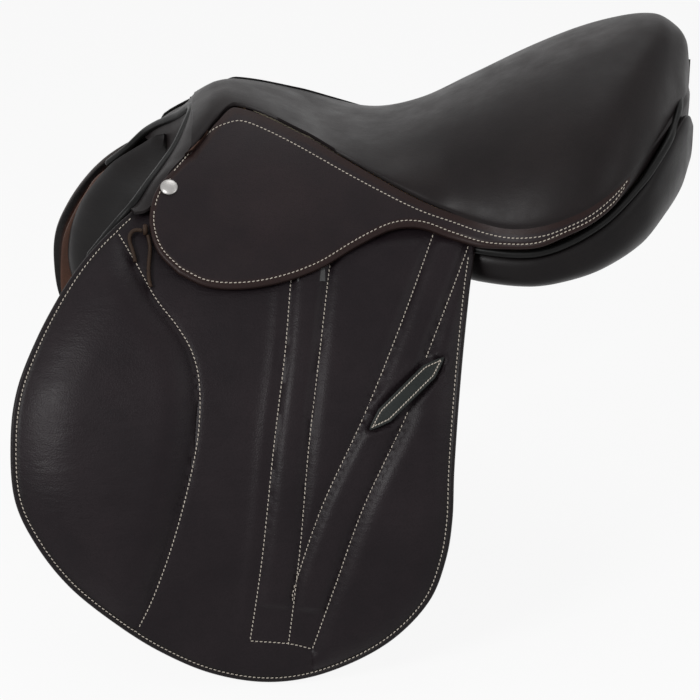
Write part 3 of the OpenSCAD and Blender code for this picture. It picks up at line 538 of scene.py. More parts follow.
# ---------------------------------------------------------------- laces: free cords through the flap's corner
LACE_R = 1.5
LACES = {
    "front": [(-192.5, 53.5, 4.5), (-196, 54, 4.5), (-199.5, 53, 4.2), (-201.8, 50, 3.6), (-201.6, 46, 3.2),
              (-200, 42, 3), (-198.5, 38, 3), (-197.6, 34, 3)],
    "rear": [(-188, 50.6, 4.5), (-187, 47, 4.2), (-186.4, 43, 3.6), (-186.8, 38, 3.2), (-187.4, 33, 3),
             (-187.6, 28, 3), (-187.2, 23, 3), (-186, 18.5, 3)],
}


def lace_tail(name, points, s):
    """Round lace along points (x, height, distance off the flap), as a curve with a round section."""
    p = smooth(points, 3)
    path = np.stack([p[:, 0], s * side_w(R_FLAP + p[:, 2], p[:, 1]), p[:, 1]], axis=1) * MM
    curve = bpy.data.curves.new(name, "CURVE")
    curve.dimensions = "3D"
    curve.bevel_depth = LACE_R * MM
    curve.bevel_resolution = 3
    curve.use_fill_caps = True
    line = curve.splines.new("POLY")
    line.points.add(len(path) - 1)
    for point, place in zip(line.points, path):
        point.co = (*place, 1)
    piece = add(name, curve)
    length = float(np.linalg.norm(np.diff(path, axis=0), axis=1).sum())
    return piece, tuple(float(v) for v in path[0]), length


for side, s in SIDES:
    for place, points in LACES.items():
        tail, start, length = lace_tail("lace_%s_%s" % (place, side), points, s)
        sew_on(tail, "flap_" + side, "leather_black", STRAP_LEATHER, "lace_tails_" + side)

# ---------------------------------------------------------------- seat
CROWN = [(-155, 119), (-145.7, 126), (-137.2, 131), (-125.6, 133), (-97.7, 126), (-52.7, 107.4), (-14, 101),
         (24, 109), (76.8, 132.9), (129.6, 157.3), (182.4, 178.3), (213.1, 185), (228, 178), (237.1, 166),
         (240, 150)]
BORDER = [(-155, 103), (-145.7, 111), (-136.4, 120), (-120.9, 129), (-69, 113), (-40.3, 100), (-10, 86),
          (20, 73), (40, 66), (57, 62.5), (82, 59.8), (106, 63.8), (136, 74.8), (160, 87.5), (175, 96),
          (200, 111), (220, 123), (240, 131)]
PLAN = [(x, float(side_w(R_SKIRT, float(along(BORDER, x))))) for x in
        (-155, -145.7, -136.4, -120.9, -69, -40.3, -10, 20, 40)]
PLAN += [(66, 130.2), (97, 143.6), (122, 148), (150, 144), (175, 126.5), (200, 93.2), (220, 57), (232, 32.6),
         (240, 7.4)]
SEAT_LEATHER_T = 3.0


def seat_point(x, t, d=0.0):
    """Seat skin sunk by d: at x the height falls from the crown to the border as (1 - |t|^2.6)^0.75."""
    lo, hi = along(BORDER, x) - d, along(CROWN, x) - d
    z = lo + (hi - lo) * np.maximum(1 - np.abs(t) ** 2.6, 0) ** 0.75
    return np.stack(np.broadcast_arrays(x, t * along(PLAN, x), z), axis=-1)


def seat_skin():
    """The seat from pommel to cantle, its back end drawn together behind the cantle."""
    f = np.linspace(0, 1, 150)
    x = -POMMEL_X + (POMMEL_X + CANTLE_X) * (0.375 * (1 - np.cos(np.pi * f)) + 0.25 * f)
    t = np.sin(np.pi / 2 * np.linspace(-1, 1, 121))
    outer = seat_point(x[:, None], t[None, :])
    inner = seat_point(x[:, None], t[None, :], SEAT_LEATHER_T)
    close = outer[-1:] * [1, 0, 1] + [1.6, 0, 0]
    outer = np.concatenate([outer, close])
    inner = np.concatenate([inner, close - [2.0, 0, 0]])
    return shell("seat", outer, inner, sharp=60)


sew_on(seat_skin(), "root", "leather_black", SEAT_LEATHER, "seat_cover")

# front band of the seat leather: up one side of the arch, over the top and down the other
ARCH_INNER = [(-201.5, 102.5, 65), (-197, 98, 68), (-188, 83, 78), (-178, 66, 87.5), (-168.5, 47, 97.5),
              (-161, 28, 108), (-157, 14, 114.5), (-156, 0, 116)]
ARCH_OUTER = [(-198, 66), (-186, 69.5), (-172, 89), (-159.5, 99.5)]


def arch_band():
    """Band between the arch's roll and the skirt: straight across, rounded up by 1.2 mm in the middle."""
    t = np.array([-0.93, -0.66, -0.32, 0])
    rear = [(x, -float(side_w(R_SKIRT - 1, z)), z) for x, z in ARCH_OUTER]
    rear += [tuple(p) for p in seat_point(np.full(4, -153.4), t, 0.4)]
    a, b = (over_the_top(smooth(p, 12)) for p in (np.array(ARCH_INNER) * OTHER_SIDE, rear))
    v = np.linspace(0, 1, 13)[None, :, None]
    flat_band = a[:, None] * (1 - v) + b[:, None] * v
    out = across(flat_band)
    out *= np.sign((out * (flat_band * [0, 0.01, 0] + [-0.4, 0, 1])).sum(axis=2))[..., None]
    outer = flat_band + out * 1.2 * np.sin(np.pi * v)
    return shell("arch_band", outer, flat_band - out * 2.2, sharp=60)


sew_on(arch_band(), "root", "leather_black", SEAT_LEATHER)

HEAD_INNER = [(61, 57), (50.5, 70), (38, 83), (23, 94.5), (10, 100.5), (0, 102)]


def arch_facing():
    """Leather over the front and the underside of the head: from the roll in to the gullet, then back."""
    roll = smooth(np.array(ARCH_INNER) * OTHER_SIDE + [0, 2, -1.5], 12)
    lip = smooth([(-149.5 + 0.42 * (z - 120), -w, z) for w, z in HEAD_INNER], 14)
    roll, lip = evenly(roll, 70), evenly(lip, 70)
    rows = [roll, lip, lip + [22, 0, 0], lip + [44, 0, 0.5]]
    rows = smooth(np.stack([over_the_top(r) for r in rows]).reshape(4, -1), 7)
    grid = rows.reshape(len(rows), -1, 3)
    out = across(grid)
    out *= -np.sign(out[-2, grid.shape[1] // 2, 2])
    front = grid[2] * 0.9 + grid[3] * 0.1
    row = [(front - 0.6 * out[2], -out[2])]
    sew_thread("arch_thread", row, "root", 3.0)
    return shell("arch_facing", grid, grid - out * 1.2, sharp=60)


sew_on(arch_facing(), "root", "leather_black", SEAT_LEATHER)


PANEL_LOW = [(-118, 34), (-50, 17), (0, 8), (64.8, 2), (100.8, 0), (126, 1.5), (158.4, 7), (192, 20),
             (212, 37), (229, 57), (237.6, 78)]
PANEL_HIGH = [(-118, 55), (-50, 45), (0, 40), (64.8, 37), (108, 38), (153.6, 55), (186, 78.5), (212, 103),
              (226, 116), (233, 115), (237.6, 106)]
PANEL_OUT = [(-118, 76), (-50, 84), (0, 92), (30, 101), (48, 114), (64.8, 127), (100.8, 138), (126, 138),
             (158.4, 130), (192, 113), (212, 92), (229, 66), (237.6, 47)]
PANEL_TILT = [(-118, 0), (72, 0), (153.6, 3), (212, 9), (237.6, 6)]


def cantle_binding():
    """Leather between the seat's border and the panels' top, round the cantle: down first, then in."""
    x = np.r_[np.linspace(100, 236, 80), 239.5]
    w, z = along(PLAN, x), along(BORDER, x) - 0.4
    held = np.minimum(x, 237)
    tilt = along(PANEL_TILT, held)
    low_w = np.maximum(np.minimum(w - 4, along(PANEL_OUT, held) - 9 - 0.4 * tilt), 0.5)
    low_z = np.minimum(along(PANEL_HIGH, held) + tilt, z - 8) - 17 * ease((x - 212) / 15)
    t = np.linspace(0, 1, 16)[:, None]
    push = 2.5 * ease((x - 190) / 30) * np.minimum(6 * t, 1)
    w = np.maximum(w + (low_w - w) * t**3 + push * (x < 239), 0.4)
    half = np.stack([x + 0.6 * push, w, z + (low_z - z) * t], axis=2)
    grid = np.concatenate([half * OTHER_SIDE, half[:, ::-1]], axis=1)
    out = across(grid)
    out *= -np.sign(out[8, 20, 1])
    return shell("cantle_binding", grid, grid - out * 1.5, sharp=60)


sew_on(cantle_binding(), "root", "leather_black", SEAT_LEATHER)

# ---------------------------------------------------------------- piping and rolls
SKIRT_FRONT = [(-185, 70.3), (-181, 81), (-169, 91.5), (-159, 99)]


def seat_piping():
    """Route of the piping on the far side: up the skirt's front edge, then along the seat's border."""
    x = np.linspace(-151, 239, 120)
    plan = offset_line(np.stack([x, along(PLAN, x)], axis=1), 1.8)
    border = np.stack([plan[:, 0], -plan[:, 1], along(BORDER, x) - 0.9], axis=1)
    front = [(px - 0.6, -float(side_w(R_SKIRT + 0.4, z)), z) for px, z in SKIRT_FRONT]
    return evenly(smooth(np.vstack([front, border[4:]]), 2), 220) * OTHER_SIDE


# both welts are laid on the far side's route
for side, s in SIDES:
    for layer, shift, radius in (("upper", [0, 0, 0.8], 1.4), ("lower", [0, s * 0.8, -1.7], 1.4),
                                 ("tape", [0, -s * 2.0, -2.2], 2.2)):
        cord = tube("piping_%s_%s" % (layer, side), seat_piping() + shift, radius, 8)
        sew_on(cord, "root", "piping", PIPING, *(["seat_welt_" + side] if layer == "upper" else []))

ROLL_R = 3.2


def arch_roll_route():
    """Route of the roll: up the front of the arch, over the pommel and down."""
    low = [(-232, -float(side_w(R_SWEAT + 3, 34)), 34), (-214, -float(side_w(R_SWEAT + 4, 52)), 52)]
    half = low + [(-200, -97, 66.5), (-188.5, -81, 78), (-178.5, -64, 87), (-168.5, -45.5, 96.5),
                  (-161, -26, 107), (-157, -12, 113), (-156, 0, 114.5)]
    return over_the_top(smooth(half, 8))


roll = tube("arch_roll_skin", evenly(arch_roll_route(), 140), ROLL_R, 16)
sew_on(roll, "root", "piping", PIPING, "arch_roll")

# ---------------------------------------------------------------- skirt
LOBE_LOW = [(-165, 29), (-145, 21), (-119, 19), (-89, 22.5), (-59, 31), (-32, 43.5), (-15, 50.5), (-4, 54),
            (8, 55.5), (22, 54), (40, 48), (64.8, 43), (85, 43), (105, 46), (124, 54), (145, 63), (165, 75),
            (175.6, 86.5)]
LOBE_FRONT = [(-155, 100), (-159, 99), (-170, 91), (-181, 81), (-186, 70), (-186.5, 57), (-180, 42),
              (-165, 29)]
TAIL_X = 40.0
SKIRT_REAR = 175.6
LOBE_HEAD, LOBE_CHIN, LOBE_TOE = -154.5, -186.0, -165.0
SKIRT_UNDER = 2.8
SKIRT_SEAM_IN = 3.6


def skirt_place(x, z, s):
    """Outer face of the skirt: on its own layer ahead of the tail, hung from the seat's plan behind."""
    lo, hi = along(LOBE_LOW, np.maximum(x, LOBE_TOE)), along(BORDER, x) - SKIRT_UNDER
    f = np.clip((hi - z) / np.maximum(hi - lo, 1), -0.2, 1.2)
    fall = ease((x - TAIL_X) / 45)
    flare = (side_w(R_SKIRT, lo) - side_w(R_SKIRT, hi)) * (1 - fall)
    flare = flare + (0.45 * (hi - lo) * (1 - (x - TAIL_X) / 137) + 1) * fall
    k = ease((x - 6) / 60)
    w = side_w(R_SKIRT, z) * (1 - k) + (along(PLAN, x) + flare * f) * k
    return np.stack(np.broadcast_arrays(x, s * w, z), axis=-1)


def skirt_grid():
    """Two strips of straight rows, from the top to the hinge line and on to the bottom, with the curved front
    edge added near the front and fading over 25 mm."""
    front = smooth(LOBE_FRONT, 12)
    n, rows_up, rows_low = 190, 26, 34
    u = np.linspace(0, 1, n) ** 1.25
    cut = np.argmin(np.abs(u - 0.55))
    u_cut = u[cut]
    x_top = np.where(u <= u_cut, LOBE_HEAD + (LOBE_REAR - LOBE_HEAD) * u / u_cut,
                     LOBE_REAR + (SKIRT_REAR - LOBE_REAR) * (u - u_cut) / (1 - u_cut))
    t_pts = np.stack([x_top, along(BORDER, x_top) - SKIRT_UNDER], axis=1)
    x_low = np.where(u <= u_cut, LOBE_TOE + (LOBE_REAR - LOBE_TOE) * u / u_cut, x_top)
    b_pts = np.stack([x_low, along(LOBE_LOW, np.clip(x_low, LOBE_TOE, SKIRT_REAR))], axis=1)
    x_mid = np.where(u <= u_cut, LOBE_CHIN + (LOBE_REAR - LOBE_CHIN) * u / u_cut, x_top)
    drop = ease((x_mid - LOBE_REAR) / 40)
    part = 0.5 * (t_pts[:, 1] + b_pts[:, 1])
    z_mid = np.where(u <= u_cut, HINGE_Z, np.minimum(HINGE_Z * (1 - drop) + part * drop, t_pts[:, 1] - 1))
    m_pts = np.stack([x_mid, z_mid], axis=1)
    up = np.linspace(0, 1, rows_up)
    dn = 1 - (1 - np.linspace(0, 1, rows_low)) ** 1.5
    fade = np.exp(-((x_mid - LOBE_CHIN) / 25))
    k = np.argmin(np.abs(front[:, 1] - HINGE_Z))

    def strip(p, q, v, edge):
        rows = p[None] + (q - p)[None] * v[:, None, None]
        want = point_at(edge, v * run_length(edge)[-1])
        return rows + (want - rows[:, 0])[:, None] * fade[None, :, None]

    upper = strip(t_pts, m_pts, up, np.vstack([t_pts[:1], front[3:k + 1]]))
    upper[-1, :cut + 1, 1] = HINGE_Z
    lower = strip(m_pts, b_pts, dn, np.vstack([upper[-1, :1], front[k + 1:-1], b_pts[:1]]))
    lower[0] = upper[-1]
    return np.concatenate([upper, lower[1:]]), rows_up - 1, cut


def skirt_relief(x, z, outline):
    """Distance inside the edge, and relief: rounded edge, groove under the thread, rise over the bar."""
    d = away(x, z, outline)
    bar = 1.4 * dent(x + 100, 42) * dent(z - 52, 17) * swell(d, 14)
    return d, round_over(d, 1.4) - 0.35 * dent(d - SKIRT_SEAM_IN, 0.9) + bar - 0.5 * dent(d - 0.2, 1.5)


def lower_outline(grid):
    """Free edge of the skirt: front and bottom."""
    return np.vstack([grid[:, 0], grid[-1, 1:]])


def skirt_pieces(side, s):
    """Upper skirt with its tail on the tree, lobe on its hinge: one surface cut at the hinge line."""
    grid, row, cut = skirt_grid()
    x, z = grid[..., 0], grid[..., 1]
    outline = lower_outline(grid)
    d, h = skirt_relief(x, z, outline)
    top_edge = away(x, z, grid[0])
    place = skirt_place(x, z, s)
    outward = across(place)
    outward *= np.sign(outward[30, 60, 1]) * s
    outer = place + outward * h[..., None]
    inner = place - outward * SKIRT_T
    rim = np.clip(ease((5.5 - np.minimum(d, top_edge + 0.5)) / 2.0), 0, 1)
    raw = ease((0.5 - d) / 0.6)
    marks = {"rim": (rim, 0 * rim), "edge": (raw, raw), "lining": (0 * rim, 0 * rim + 1)}
    lobe = np.zeros((x.shape[0] - 1, x.shape[1] - 1), bool)
    lobe[row:, :cut] = True
    for part, body, cells_kept in (("skirt", "root", ~lobe), ("skirt_lobe", "skirt_lobe_" + side, lobe)):
        piece = shell("%s_skin_%s" % (part, side), outer, inner, cells_kept, marks)
        sew_on(piece, body, "leather_brown", SKIRT_LEATHER, "%s_%s" % (part, side))
    return grid, row, cut, outline


def skirt_row(line, s):
    """Thread route on the skirt's face along points (x, z), with normals."""
    p = evenly(line, pitch=2.0)
    base = skirt_place(p[:, 0], p[:, 1], s)
    lift = skirt_place(p[:, 0], p[:, 1] + 0.5, s) - skirt_place(p[:, 0], p[:, 1] - 0.5, s)
    run = skirt_place(p[:, 0] + 0.5, p[:, 1], s) - skirt_place(p[:, 0] - 0.5, p[:, 1], s)
    n = unit(np.cross(run, lift))
    n *= s * np.sign(n[:, 1:2])
    return base + 0.05 * n, n


SKIRT_SEAM = [(-168.5, 90), (-152, 104.5), (-140, 113), (-129, 117), (-116, 118.5), (-98, 113.5),
              (-71, 103), (-34, 86.5), (3.5, 70.5), (25, 62.5), (44, 57), (60, 53.5), (82, 50.8), (106, 54),
              (125, 61), (145, 70.5), (166, 84.5), (173.5, 91)]

for side, s in SIDES:
    grid, row, cut, outline = skirt_pieces(side, s)
    seam = offset_line(outline, SKIRT_SEAM_IN)
    seam = seam[seam[:, 0] < 172]
    inside = seam[12:]
    on_lobe = (inside[:, 1] < HINGE_Z - 1) & (inside[:, 0] < LOBE_REAR)
    first, last = np.argmax(on_lobe), len(on_lobe) - np.argmax(on_lobe[::-1])
    rows = [skirt_row(inside[:first], s), skirt_row(inside[last:], s), skirt_row(smooth(SKIRT_SEAM), s)]
    sew_thread("skirt_thread_" + side, rows, "root")
    sew_thread("lobe_thread_" + side, [skirt_row(inside[first:last], s)], "skirt_lobe_" + side)

# ---------------------------------------------------------------- flap
FLAP_EDGE = [(-192, 70), (-214.8, 54), (-235.7, 36), (-254, 14), (-272, -15), (-286, -47), (-291, -80),
             (-289, -121.5), (-274.4, -155), (-250.3, -188), (-217, -218), (-184, -242), (-147, -261),
             (-107.7, -270), (-70.7, -266.8), (-32.9, -252), (-3.1, -231.7), (20.5, -203.9), (32.2, -172.8),
             (37.2, -143), (39, -107), (42.8, -65), (47.7, -26), (53.9, 12), (58.9, 35), (62, 53)]
SEAMS = {
    "knee": [(-216, 55), (-212, 50), (-198, 31), (-184, 10), (-168, -8), (-157, -25), (-152, -46),
             (-153, -76), (-160, -110), (-174, -157), (-190, -199), (-205, -229)],
    "band_1_front": [(-78, 34), (-81, 18.5), (-86, -24), (-96, -90), (-106, -170), (-116, -234)],
    "band_1_rear": [(-48, 45), (-51, 31), (-60, -24), (-70, -91), (-77.5, -163), (-87, -237)],
    "band_3_front": [(34, 56), (27, 45), (-4, -19), (-29, -70), (-60, -130), (-81, -188), (-83.5, -201)],
    "band_3_rear": [(58, 47), (54, 39), (20, -29), (4, -67.5), (-29, -131), (-52, -193), (-69, -242)],
    "sole": [(-116, -234), (-87, -237), (-69, -242)],
}
BANDS = ("band_1_front", "band_1_rear", "band_3_front", "band_3_rear")
FOLDS = ([(-113, -206), (-87, -209)], [(-85, -209.5), (-58.5, -213.5)])
KEEPER_AT = (4.0, -54.0)
KEEPER_TURN = math.radians(43)
KEEPER_LEN, KEEPER_W, KEEPER_ARCH, KEEPER_T = 78.0, 13.0, 4.2, 2.0
KEEPER_OFF = 2.7
NOTCH_X = (-140.0, -54.0)
NOTCH_Z = 34.0
BLOCK_H = 11.0


def flap_outline():
    """Flap's edge from the front of the hinge line, round the bottom to its back corner, laid flat."""
    return flat(R_FLAP, smooth(FLAP_EDGE, 14))


EDGE = flap_outline()
LINES = {name: flat(R_FLAP, smooth(points, 8)) for name, points in SEAMS.items()}
FOLD_LINES = [flat(R_FLAP, f) for f in FOLDS]


def x_at(line, a):
    """x of a line at arc length a, for a line that only goes down."""
    return np.interp(a, line[::-1, 1], line[::-1, 0])


def keeper_frame(x, a):
    """Distances along and across the keeper, from its middle."""
    u, v = x - KEEPER_AT[0], a - arc(R_FLAP, KEEPER_AT[1])
    c, k = math.cos(KEEPER_TURN), math.sin(KEEPER_TURN)
    return u * c + v * k, -u * k + v * c


def on_keeper(u, v):
    """Flat point (x, a) at the distances u along and v across the keeper."""
    c, k = math.cos(KEEPER_TURN), math.sin(KEEPER_TURN)
    return KEEPER_AT[0] + u * c - v * k, arc(R_FLAP, KEEPER_AT[1]) + u * k + v * c


def keeper_rise(u):
    """Lift of the keeper's middle off the flap, at the distance u along it."""
    return KEEPER_ARCH * (1 - (2 * u / KEEPER_LEN) ** 2) ** 2 * ease((KEEPER_LEN / 2 - np.abs(u)) / 20)


def keeper_half(p, grow=0.0):
    """Half width of the keeper at distance p along it: parallel sides that run to a point over 16 mm."""
    end = KEEPER_LEN / 2 + grow
    return (KEEPER_W / 2 + grow) * np.clip((end - np.abs(p)) / 16, 0, 1) ** 0.75


def flap_relief(x, a):
    """Height of the flap's face over its layer: rounded edge, rolled rim, knee block, padded bands between
    the rows of thread, thigh block and the hollow under the keeper. Each band swells from its seams."""
    z = height(R_FLAP, a)
    d = away(x, a, EDGE)
    knee = away(x, a, LINES["knee"])
    d1, d2, d3, d4 = (away(x, a, LINES[k]) for k in BANDS)
    top = ease((52 - z) / 14)
    front = (x < x_at(LINES["knee"], a)) & (z < 56)
    h = round_over(d, 1.6) + 0.7 * dent(d - 2.0, 1.3) - 0.45 * dent(d - 4.4, 0.9)
    block = BLOCK_H * swell(d - 6, 46, 2.2) * swell(knee - 1, 30, 2.6)
    h = h + np.where(front, block, 0) - 1.1 * dent(knee, 1.8) * swell(d, 6)
    x1, x2, x3, x4 = (x_at(LINES[k], a) for k in BANDS)
    fold1, fold2 = (away(x, a, f) for f in FOLD_LINES)
    a1, a2 = (np.interp(x, f[:, 0], f[:, 1]) for f in FOLD_LINES)
    low = ease((z + 226) / 20)
    band1 = (x > x1) & (x < x2)
    band2 = (x > x2) & (x < x3) & (z > -196)
    band3 = (x > np.maximum(x3, x2)) & (x < x4)
    pad1 = np.where(band1 & (a > a1), 3.6 * swell(np.minimum(d1, d2) - 1, 9, 2.2) * swell(fold1, 7), 0)
    pad2 = np.where(band2, 2.6 * swell(np.minimum(d2, d3) - 1, 9), 0)
    inside = np.minimum(np.minimum(d3, d4), d2) - 1
    pad3 = np.where(band3 & (a > a2), 3.8 * swell(inside, 9, 2.2) * swell(fold2, 7), 0)
    thigh = np.where(x > x4, 4.6 * swell(d4 - 1, 13, 2.2) * swell(d - 5, 18), 0)
    ridge = np.where(x < x1, 1.3 * dent(d1 - 8, 4.5) * low, 0)
    h = h + (pad1 + pad2 + pad3 + thigh + ridge) * top
    for dist in (d1, d2, d3, d4, away(x, a, LINES["sole"])):
        h = h - 0.7 * dent(dist, 1.5) * top * swell(d, 5)
    p, q = keeper_frame(x, a)
    out = np.abs(q) - keeper_half(p, 2.6)
    hollow = ease((1.2 - out) / 3.2) * (np.abs(p) < KEEPER_LEN / 2 + 6)
    h = h * (1 - hollow) + 0.9 * hollow
    return h + 1.1 * dent(out - 2.6, 2.2) * (np.abs(p) < KEEPER_LEN / 2 + 5) * (1 - hollow), d


SEAM_TOP = R_FLAP * math.asin((HINGE_Z - BARREL_Z) / HINGE_R)
SEAM_DROP = [(-17.2, 0), (-15.2, 26.5), (-14, 25), (-8, 20.5), (3, 17.7), (22, 20.5), (40, 29.4), (49.7, 35),
             (60, 39)]


def seam_at(x):
    """Arc length of the line where the flap hangs from its head: level at the hinge, lower behind."""
    return SEAM_TOP - np.interp(x, *np.transpose(SEAM_DROP))


EDGE_STEPS = np.array([0, 0.35, 0.9, 1.6, 2.6, 4.0])
NOTCH_ROWS, MID_COLUMNS = 18, 44


def crowded(span, count):
    """Shares of the span between two edges, row by row: six columns close to the first, the rest evenly."""
    w = np.minimum(EDGE_STEPS / np.maximum(span, 1e-6)[:, None], np.linspace(0, 0.2, 6)[None])
    return np.hstack([w, w[:, -1:] + (1 - w[:, -1:]) * np.linspace(0, 1, count - 5)[None, 1:]])


def flap_grid():
    """Level rows down the flap, closer towards the bottom; each runs from the front edge to the back edge,
    with columns kept on both sides of the stirrup bar's notch."""
    top, low = SEAM_TOP, EDGE[:, 1].min() + 0.05
    notch = arc(R_FLAP, NOTCH_Z)
    t = np.linspace(0, 1, 190)[1:]
    a = np.r_[np.linspace(top, notch, NOTCH_ROWS), notch + (low - notch) * (1 - (1 - t) ** 1.35)]
    bottom = np.argmin(EDGE[:, 1])
    front = np.interp(a, EDGE[:bottom + 1, 1][::-1], EDGE[:bottom + 1, 0][::-1])
    rear = np.interp(np.minimum(a, notch + 1), EDGE[bottom:, 1], EDGE[bottom:, 0])
    chord = rear - front
    go = ease((notch - a) / 60)
    p1, p2 = (at * (1 - go) + (front + (at + 192) / 254 * chord) * go for at in NOTCH_X)
    first, last = crowded(p1 - front, 34), 1 - crowded(rear - p2, 56)[:, ::-1]
    mid = np.linspace(0, 1, MID_COLUMNS + 1)[None, 1:]
    x = np.hstack([front[:, None] + (p1 - front)[:, None] * first, p1[:, None] + (p2 - p1)[:, None] * mid,
                   p2[:, None] + (rear - p2)[:, None] * last[:, 1:]])
    keep = np.ones((len(a) - 1, x.shape[1] - 1), bool)
    left = first.shape[1] - 1
    keep[:NOTCH_ROWS - 1, left:left + MID_COLUMNS] = False
    return x, a[:, None] - np.maximum(a[:, None] - notch, 0) / (top - notch) * (top - seam_at(x)), keep


def flap_skin(side, s):
    """The flap: padded face, plain back, rounded edges, cut off at the seam below its head."""
    x, a, keep = flap_grid()
    h, d = flap_relief(x, a)
    outer = on_side(R_FLAP, x, a, h, s)
    back = on_side(R_FLAP, x, a, -FLAP_T - round_over(d, 1.2), s)
    raw = ease((0.7 - d) / 0.8)
    rim = ease((9 - d) / 4)
    marks = {"edge": (raw, raw), "rim": (0.5 * rim, rim), "lining": (0 * raw, (1 - rim))}
    piece = shell("flap_skin_" + side, outer, back, keep, marks)
    return sew_on(piece, "flap_" + side, "leather_black", FLAP_LEATHER, "flap_" + side, "knee_pad_" + side,
                  "thigh_pad_" + side, "channel_pads_" + side)


HEAD_X, HEAD_REAR = -203.0, 59.2
HEAD_FRONT = [(60, -206), (66.5, -198), (77, -187), (84, -179)]


def flap_head_skin(side, s):
    """The flap's head, fixed on the tree: from the seam up under the skirt, and out to the edge behind."""
    u, v = np.linspace(0, 1, 150), np.linspace(0, 1, 24)[:, None]
    high = arc(R_FLAP, 76.0)
    crest = flat(R_FLAP, [(6, 70), (20, 63), (40.3, 55), (50, 53.5), (58.5, 52)])
    x = HEAD_X + (HEAD_REAR - HEAD_X) * u
    ahead = high + (crest[0, 1] - high) * ease((x + 40) / 46)
    top = np.where(x < 6, ahead, np.interp(x, crest[:, 0], crest[:, 1]))
    a = seam_at(x)[None] * (1 - v) + top[None] * v
    front = np.interp(height(R_FLAP, a), *np.transpose(HEAD_FRONT))
    x = HEAD_REAR - (HEAD_REAR - front) * (HEAD_REAR - x[None]) / (HEAD_REAR - HEAD_X)
    h, d = flap_relief(x, a)
    h = np.minimum(h, 3.0)
    notch = (x > NOTCH_X[0] - 1) & (x < NOTCH_X[1] + 1) & (a < arc(R_FLAP, 66.5))
    keep = ~(notch[1:, 1:] | notch[:-1, :-1])
    outer, back = on_side(R_FLAP, x, a, h, s), on_side(R_FLAP, x, a, -FLAP_T, s)
    raw = ease((0.7 - d) / 0.8)
    piece = shell("flap_head_skin_" + side, outer, back, keep, {"edge": (raw, raw)})
    sew_on(piece, "root", "leather_black", FLAP_LEATHER, "flap_head_" + side)
    row = flap_row(flat(R_FLAP, smooth([(-199.5, 62), (-193, 67.5), (-183, 76.5)])), s)
    sew_thread("head_thread_" + side, [row], "root")


def flap_row(line, s, skip=0):
    """Thread route on the flap's face along flat points (x, a), with normals from the layer."""
    p = evenly(line, pitch=2.0)[skip:]
    h = flap_relief(p[:, 0], p[:, 1])[0]
    return on_side(R_FLAP, p[:, 0], p[:, 1], h + 0.55, s), side_normal(R_FLAP, p[:, 1], s)


def flap_rows(s):
    """Rows of thread on the flap: round its edge, behind the knee block and beside the padded bands."""
    rim = offset_line(EDGE, 4.4)
    knee = LINES["knee"] + [1.6, 0.4]
    d = away(knee[:, 0], knee[:, 1], EDGE)
    rim = rim[6:-3]
    on_head = rim[:, 1] > seam_at(rim[:, 0]) - 4
    rows = [flap_row(rim[~on_head], s), flap_row(knee[(d > 6) & (knee[:, 1] < SEAM_TOP - 1)], s)]
    for key in (*BANDS, "sole"):
        line = evenly(LINES[key], pitch=1.0)
        p, q = keeper_frame(line[:, 0], line[:, 1])
        free = (np.abs(q) > keeper_half(p, 3.4)) | (np.abs(p) > KEEPER_LEN / 2 + 3)
        cuts = np.flatnonzero(np.diff(free.astype(int))) + 1
        for part, ok in zip(np.split(line, cuts), [free[i] for i in np.r_[0, cuts]]):
            if ok and len(part) > 4:
                rows.append(flap_row(part, s))
    return rows


def keeper_strap(side, s):
    """Keeper: a pointed strap arched in the middle, with a rounded edge; gives the route of its thread."""
    p = np.linspace(-1, 1, 91)
    p = np.sign(p) * (1 - (1 - np.abs(p)) ** 1.2) * (KEEPER_LEN / 2 - 0.4)
    q = np.sin(np.pi / 2 * np.linspace(-1, 1, 19))
    half = np.maximum(keeper_half(p), 0.35)
    u, v = p[:, None] + 0 * q[None], half[:, None] * q[None]
    x, a = on_keeper(u, v)
    lift = KEEPER_OFF + keeper_rise(u)
    edge = half[:, None] - np.abs(v)
    rounded = round_over(np.minimum(edge, KEEPER_LEN / 2 - np.abs(u)), 0.9)
    face = lift + KEEPER_T + rounded - 0.3 * dent(edge - 2.3, 0.7)
    piece = shell("keeper_skin_" + side, on_side(R_FLAP, x, a, face, s), on_side(R_FLAP, x, a, lift, s))
    sew_on(piece, "flap_" + side, "keeper_web", KEEPER_LEATHER, "keeper_" + side)
    t = np.linspace(-1, 1, 60) * (KEEPER_LEN / 2 - 3.5)
    wide = np.maximum(keeper_half(t) - 2.3, 0)
    u, v = np.r_[t, t[::-1]], np.r_[wide, -wide[::-1]]
    x, a = on_keeper(u, v)
    return on_side(R_FLAP, x, a, KEEPER_OFF + KEEPER_T + 0.05 + keeper_rise(u), s), side_normal(R_FLAP, a, s)


for side, s in SIDES:
    flap_skin(side, s)
    flap_head_skin(side, s)
    around = keeper_strap(side, s)
    sew_thread("flap_thread_" + side, flap_rows(s), "flap_" + side)
    sew_thread("keeper_thread_" + side, [around], "flap_" + side, 2.6)

# ---------------------------------------------------------------- sweat flaps and the panels' stuffed front
SWEAT_EDGE = [(-190, 66), (-225.5, 42), (-250.8, 21), (-263.9, 2), (-278.8, -23), (-291, -52), (-295, -86),
              (-292.5, -121.5), (-276.5, -151.2), (-250.3, -182.3), (-215.3, -210.6), (-180.4, -232.2),
              (-142.6, -248.4), (-96, -253.8), (-49.5, -243), (-17.5, -216), (5.8, -178.2), (17.5, -135),
              (21.8, -81), (23.3, -27), (24, 15), (22, 38)]
PAD_EDGE = [(-188, 74), (-204, 60), (-227, 40), (-246, 14), (-260, -10), (-272, -44), (-276, -80),
            (-268, -116), (-248, -134), (-222, -118), (-205, -80), (-190, -40), (-176, 0), (-168, 34),
            (-170, 62), (-178, 75)]


R_PAD = 432.0
PAD_SWELL = 15.0


